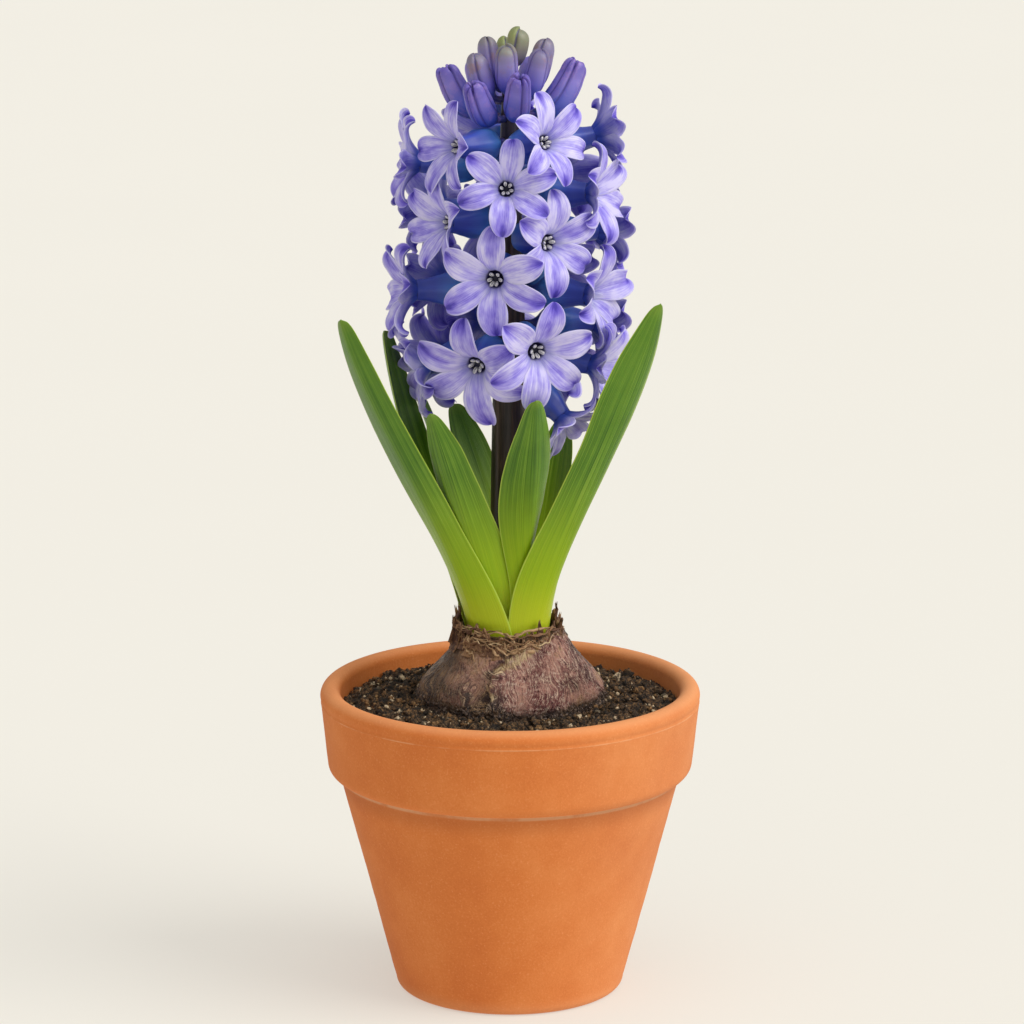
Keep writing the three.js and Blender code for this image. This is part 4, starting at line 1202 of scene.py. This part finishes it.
def bulb_shape():
    """The bulb's side turned round Z. Fine wrinkles run up it, the right sheet of skin lies over the left one
    with a torn edge, and in front on the right the skin is drawn into rings that coarsen towards the foot."""
    rows, sides = GRIDS["bulb"]
    around = np.linspace(0, 360, sides, endpoint=False)
    height = np.concatenate([np.linspace(60, 84, 8)[:-1], np.linspace(84, 117.5, rows)])
    points = round_z(around, bulb_radius(height)[:, None], height[:, None])
    azimuth = (around + 180) % 360 - 180
    azimuth, level = np.meshgrid(azimuth, height)
    girth = np.radians(azimuth) * BULB_RADIUS
    drift = 3.4 * rumple(points, 26, 41) + 1.0 * rumple(points, 9, 40)
    flow = girth * (bulb_radius(level) / BULB_RADIUS * 0.35 + 0.65) + drift
    climb = level + 1.5 * rumple(points, 12, 39)
    wrinkles = 0.7 * rumple(np.stack([flow, climb * 0.25, 0 * level], -1), 1.8, 42, 24)
    wrinkles = wrinkles + 0.8 * rumple(np.stack([flow, climb * 0.6, 0 * level], -1), 1.0, 43, 24)
    from_rings = np.hypot((azimuth - RINGS[0]) / 57.3 * 27, (level - RINGS[1]) * 1.15)
    from_rings = from_rings + 1.0 * rumple(points, 7, 44) + 0.3 * rumple(points, 2, 38)
    near_rings = ramp(from_rings, 13, 5)
    rings = np.sin(2 * np.pi * from_rings / 1.3)
    scales = np.sin(2 * np.pi * (level + 0.8 * rumple(points, 6, 51)) / 1.5 + 2 * rumple(points, 3, 52))
    torn = 1.6 * rumple(points, 7, 45) + 0.7 * rumple(points, 2, 46)
    sheet_at = np.interp(level, *np.array(SHEET_EDGE, float).T) + torn
    right_sheet = ramp(azimuth - sheet_at, -0.7, 0.7) * ramp(azimuth, 175, 140)
    brown_at = np.interp(azimuth, *np.array(BROWN_EDGE, float).T) + 0.25 * torn
    brown = ramp(level - brown_at, -0.25, 0.25)
    lumps = rumple(points, 30, 48)
    pits = np.abs(rumple(points, 3.2, 49))
    low = ramp(level, 100, 93)
    push = 0.35 * lumps + 1.0 * right_sheet + 0.45 * brown
    push = push + 0.15 * wrinkles * (1 - 0.7 * near_rings) + 0.16 * rings * near_rings
    push = push + low * (0.6 * pits - 0.3 + 0.3 * scales)
    push = (push - 0.35) * ramp(level, 117.4, 114) - 0.7 * np.exp(-(((level - 115) / 2.2) ** 2))
    points = points + outward(azimuth) * push[..., None]
    # edge is pale along the torn edge of the right sheet; lower down a dip beside it becomes a painted shadow
    edge = np.exp(-(((azimuth - sheet_at - 1.2) / 1.9) ** 2)) * ramp(azimuth, 60, 30)
    edge = edge - 0.9 * np.exp(-(((azimuth - sheet_at + 2.6) / 2.2) ** 2)) * ramp(level, 111, 107)
    band_at = np.interp(azimuth, *np.array(BAND, float).T) + 0.2 * torn
    band = np.exp(-(((level - band_at) / 1.4) ** 2)) * ramp(azimuth, -22, -8) * ramp(azimuth, 52, 34)
    edge = edge * (0.8 + 0.2 * ramp(level, 107, 111)) + 0.8 * np.exp(-(((level - brown_at) / 0.3) ** 2))
    edge = np.maximum(edge, 1.1 * band)
    # ridge sets the finish's painted highlight on crests and painted shade in troughs and low down
    ridge = 0.22 * wrinkles * (1 - near_rings) + 0.35 * rings * near_rings + 0.8 * edge
    ridge = ridge + low * (0.7 * scales * pits - 0.3)
    mauve = 0.25 + 0.4 * right_sheet * ramp(azimuth, 110, 60) + 0.25 * near_rings + 0.15 * lumps - 0.5 * brown
    mauve = mauve - 0.3 * ramp(azimuth, -40, -80) - 0.7 * ramp(level, 98.5, 95)
    mauve = mauve + 0.1 * ramp(azimuth, -60, -30) * (1 - right_sheet)
    cup_radius, cup_height = np.array(BULB_CUP).T[..., None]
    cup = round_z(around, cup_radius, cup_height)
    extra = np.ones((len(cup), 1))
    shape = Shape()
    shape.tube(
        np.concatenate([points, cup])[:, ::-1],
        across=np.concatenate([flow, extra * flow[-1:]])[:, ::-1],
        ahead=np.concatenate([climb, extra * climb[-1:]])[:, ::-1],
        side=np.concatenate([np.clip(ridge, -1, 1.2), extra * 0 * ridge[-1:]])[:, ::-1],
        tone=np.concatenate([mauve, extra * mauve[-1:]])[:, ::-1],
    )
    return shape


# The torn collar of dry tunic round the neck, which sits a little left of the bulb's middle
COLLAR_SHIFT = 0.7
NECK_RADIUS = 15.8


def flake(shape, azimuth, width, foot, top, lean, curl, torn, tone, seed):
    """A thin curved sheet up the neck. Its upper edge is ragged, it leans outwards, and its tip curls."""
    draw = np.random.default_rng(seed)
    rows, sides = GRIDS["flake"]
    v = np.linspace(0, 1, rows)[:, None]
    u, side = (row[None] for row in lens(sides, 0.5))
    teeth = 0.5 * np.sin(u * draw.uniform(2, 5) + draw.uniform(0, 6)) + 0.35 * np.sin(u * draw.uniform(7, 12))
    teeth = torn * teeth
    peak = (1 - 0.55 * np.abs(u - draw.uniform(-0.4, 0.4)) ** 1.5) * (top - foot) + teeth
    level = foot + v * peak
    spread = width * (1 - 0.45 * v**1.5) * u / 2 + draw.normal(0, 0.8) * v**2
    radius = np.maximum(bulb_radius(level) - 0.7, NECK_RADIUS) + 0.1
    radius = radius + lean * v**1.6 + curl * ramp(v, 0.6, 1.0) ** 1.5
    middle = np.stack(np.broadcast_arrays(spread, level, 0 * level), -1)
    radius = radius + 0.4 * rumple(middle, 4, seed + 1) * v + 0.18 * rumple(middle, 1.6, seed + 2)
    radius = radius + side * 0.22
    turned = azimuth + np.degrees(spread / np.maximum(radius, 5))
    points = round_z(turned, radius, level)
    points[..., 0] -= COLLAR_SHIFT
    shape.tube(points[:, ::-1], across=u[:, ::-1], ahead=v, side=side[:, ::-1], tone=tone)


def fibre(shape, azimuths, heights, thick, tone, seed, stand=0.5, flat=1.0):
    """A thin torn fibre that winds round the neck through these heights. A flat one is a strip that twists as
    it goes: its section is an ellipse, turned by an angle that grows along it."""
    draw = np.random.default_rng(seed)
    rows, sides = GRIDS["fibre"]
    t = np.linspace(0, 1, rows)
    azimuth = np.interp(t, np.linspace(0, 1, len(azimuths)), azimuths)
    level = eased(list(zip(np.linspace(0, 1, len(heights)), heights)), t)
    steps = np.stack([t * 20, 0 * t, 0 * t + seed], -1)
    level = level + 0.5 * rumple(steps, 7, seed)
    radius = np.maximum(bulb_radius(level) - 0.9, NECK_RADIUS) + stand + 0.35 * rumple(steps, 5, seed + 1)
    path = round_z(azimuth, radius, level)
    ahead = unit(np.gradient(path, axis=0))
    angles = turn_angles(sides)
    size = thick * (0.35 + 0.65 * np.sin(np.pi * np.clip(t, 0.02, 0.98)))[:, None]
    twist = (draw.uniform(0, 3) + draw.uniform(1, 3) * t)[:, None] * (flat > 1)
    reach = size / np.sqrt(np.cos(angles - twist) ** 2 / flat**2 + np.sin(angles - twist) ** 2)
    rings = swept(path, ahead, np.array([0, 0, 1.0]), reach, angles)
    rings[..., 0] -= COLLAR_SHIFT
    shape.tube(rings, across=np.cos(angles - twist) * 0.9, ahead=t[:, None] * 0.8, tone=tone)


# The flakes that show: azimuth, width, foot, top, lean, curl, torn, tone
FLAKES = [
    (-80, 3.4, 111, 126.0, -0.6, -0.2, 0.5, 0.12),
    (-94, 3.0, 112, 123.6, -0.2, 0.5, 0.5, 0.3),
    (-72, 3.6, 111, 122.0, 0.4, 1.3, 0.5, 0.1),
    (-58, 5.0, 112, 120.8, 0.2, 0.7, 0.9, 0.2),
    (-39, 4.6, 113, 121.8, -0.2, 0.9, 0.6, 0.38),
    (-22, 4.4, 113, 121.2, 0.2, 1.1, 0.8, 0.25),
    (-7, 6.0, 110.5, 118.4, 0.1, 0.4, 0.6, 0.42),
    (9, 7.0, 111.5, 117.2, 0.1, 0.2, 0.6, 0.5),
    (24, 5.5, 113.5, 119.3, 0.0, 0.6, 0.7, 0.34),
    (38, 5.0, 113, 122.6, -0.1, 0.7, 0.4, 0.1),
    (53, 4.6, 113, 120.6, 0.1, 0.8, 0.8, 0.28),
    (72, 3.6, 111, 121.8, 0.3, 1.1, 0.5, 0.18),
    (82, 3.2, 111, 125.8, -0.6, -0.1, 0.4, 0.2),
    (96, 3.0, 112, 121.5, 0.0, 0.5, 0.5, 0.3),
]


# The strips that show: where each starts and ends round the neck, and the heights it runs through
STRIPS = [
    (-56, -24, (115.4, 116, 115.6)), (-26, -3, (115.6, 113.4, 111)), (-50, -32, (113.6, 112, 109.8)),
    (-30, 0, (116.8, 115.5, 112.2)), (2, 30, (112.7, 114.5, 116.4)), (-4, 24, (111.4, 113.7, 115.8)),
    (-58, 4, (119.6, 119.4, 118.4)), (2, 62, (118.2, 119.8, 118.6)), (-45, -10, (118.2, 117.6, 116.6)),
]


def collar_shape():
    """Torn flakes that lie against the neck and curl at their tips, with twisted strips and loose fibres."""
    draw = np.random.default_rng(SEEDS["collar"])
    shape = Shape()
    for i, (azimuth, width, foot, top, lean, curl, torn, tone) in enumerate(FLAKES):
        flake(shape, azimuth, width, foot, top, lean, curl, torn, tone, SEEDS["shown_flakes"] + 7 * i)
    for i in range(40):
        azimuth = 360 * (i + draw.uniform(-0.3, 0.3)) / 40
        front = (1 + math.cos(math.radians(azimuth - 3))) / 2
        top = 121.3 - 3 * front**2 + draw.uniform(-2, 0.8)
        width, foot = draw.uniform(2.6, 5.5), 111.6 + draw.uniform(-1.2, 1.5)
        ranges = ((-0.5, 0.2), (-0.2, 0.6), (0.5, 1.1), (0.05, 0.55))
        lean, curl, torn, tone = (draw.uniform(low, high) for low, high in ranges)
        flake(shape, azimuth, width, foot, top, lean, curl, torn, tone, SEEDS["flakes"] + 7 * i)
    for i in range(30):
        start, foot = draw.uniform(-180, 180), draw.uniform(114.2, 120)
        heights = [foot, foot + draw.uniform(-1.4, 0.8), foot + draw.uniform(-2, 1.6)]
        end, thick, tone = start + draw.uniform(18, 55), draw.uniform(0.14, 0.22), draw.uniform(0.15, 0.7)
        stand, flat = draw.uniform(0.8, 1.4), draw.uniform(3, 5)
        fibre(shape, (start, end), heights, thick, tone, SEEDS["strips"] + 3 * i, stand, flat)
    for i in range(26):
        start, foot = draw.uniform(-180, 180), draw.uniform(114, 119.6)
        heights = [foot, foot + draw.uniform(-1.6, 0.8), foot + draw.uniform(-2, 1.6)]
        end, thick, tone = start + draw.uniform(12, 40), draw.uniform(0.1, 0.2), draw.uniform(0.4, 1.0)
        fibre(shape, (start, end), heights, thick, tone, SEEDS["fibres"] + 3 * i, draw.uniform(0.8, 1.5))
    for start, end, heights in STRIPS:
        seed = SEEDS["shown_strips"] + start
        fibre(shape, (start, end), heights, thick=0.2, tone=0.7, seed=seed, stand=0.9, flat=3)
    return shape


# The scape
def scape_shape():
    """A round stem, slimmer to the top, with faint ridges."""
    rows, sides = GRIDS["scape"]
    height = np.linspace(SCAPE_FOOT, SCAPE_TOP, rows)[:, None]
    around = np.arange(sides) * 360 / sides
    ridges = 0.015 * np.cos(np.radians(around * 7) + height * 0.03)
    shape = Shape()
    shape.tube(round_z(around, eased(SCAPE_SIZES, height) * (1 + ridges), height), ahead=height / SCAPE_TOP)
    return shape


def two_digits(i):
    return str(i + 1).zfill(2)


def add_plant():
    lavender = [petal_finish(), tube_finish(), anther_finish()]
    for i, floret in enumerate(spike_florets()):
        number = two_digits(i)
        add_piece("bloom_" + number, floret_shape(floret, i), lavender, "petal_blue", "floret_" + number)
    violet = [bud_finish()]
    for i, bud in enumerate(BUDS):
        number = two_digits(i)
        add_piece("closed_" + number, bud_shape(bud, i), violet, "bud_violet", "bud_" + number)
    green = [leaf_finish()]
    for number, leaf in enumerate(LEAVES, 1):
        add_piece(f"blade_{number}", leaf_shape(leaf, number), green, "leaf_green", f"leaf_{number}")
    add_piece("stem", scape_shape(), [scape_finish()], "stem_flesh", "scape")
    add_piece("bulb_body", bulb_shape(), [bulb_finish()], "bulb_skin", "bulb")
    add_piece("torn_collar", collar_shape(), [tunic_finish()], "dry_tunic", "tunic_collar")


def add_holder():
    add_piece("clay_pot", pot_shape(), [terracotta_finish()], "terracotta", "pot")
    add_piece("mix", soil_shape(), [soil_finish()], "potting_mix", "soil")


# The stage
VIEW = {"distance": 1500, "elevation": 12.94, "target": (0.72, 0, 154.1), "lens": 168.2, "sensor": 36}
CLIP_END = 50
FLOOR_REACH = 9
ALL_ROUND = {"colour": (1.0, 0.99, 0.97, 1), "strength": 0.4}
# Each sun's name, azimuth, elevation, strength, spread and colour
SUNS = [
    ("key", 68, 38, 1.85, 46, (1.0, 0.985, 0.955)),
    ("top", 10, 74, 0.95, 70, (1.0, 0.99, 0.97)),
]


def add_camera():
    data = bpy.data.cameras.new("camera")
    data.lens = VIEW["lens"]
    data.sensor_width = VIEW["sensor"]
    data.clip_end = CLIP_END
    camera = bpy.data.objects.new("camera", data)
    bpy.context.scene.collection.objects.link(camera)
    angle = math.radians(VIEW["elevation"])
    x, y, z = VIEW["target"]
    away = VIEW["distance"]
    camera.location = (x * MM, (y - away * math.cos(angle)) * MM, (z + away * math.sin(angle)) * MM)
    camera.rotation_euler = (math.pi / 2 - angle, 0, 0)
    bpy.context.scene.camera = camera


def add_floor():
    mesh = bpy.data.meshes.new("floor")
    r = FLOOR_REACH
    mesh.from_pydata([(-r, -r, 0), (r, -r, 0), (r, r, 0), (-r, r, 0)], [], [(0, 1, 2, 3)])
    mesh.materials.append(floor_finish())
    floor = bpy.data.objects.new("floor", mesh)
    bpy.context.scene.collection.objects.link(floor)


def add_sun(name, azimuth, elevation, strength, spread, colour):
    """Light from far off, as wide as a big soft box. spread is its width in degrees."""
    data = bpy.data.lights.new(name, "SUN")
    data.energy = strength
    data.angle = math.radians(spread)
    data.color = colour
    lamp = bpy.data.objects.new(name, data)
    lamp.rotation_euler = (math.radians(90 - elevation), 0, math.radians(azimuth))
    bpy.context.scene.collection.objects.link(lamp)


def add_light():
    """A bright, soft studio: light from all round, a broad main light from the right, and one from above."""
    world = bpy.data.worlds.new("studio")
    bpy.context.scene.world = world
    world.use_nodes = True
    background = world.node_tree.nodes["Background"]
    background.inputs["Color"].default_value = ALL_ROUND["colour"]
    background.inputs["Strength"].default_value = ALL_ROUND["strength"]
    for sun in SUNS:
        add_sun(*sun)
    bpy.context.scene.view_settings.view_transform = "Standard"


add_camera()
add_floor()
add_light()
add_holder()
add_plant()
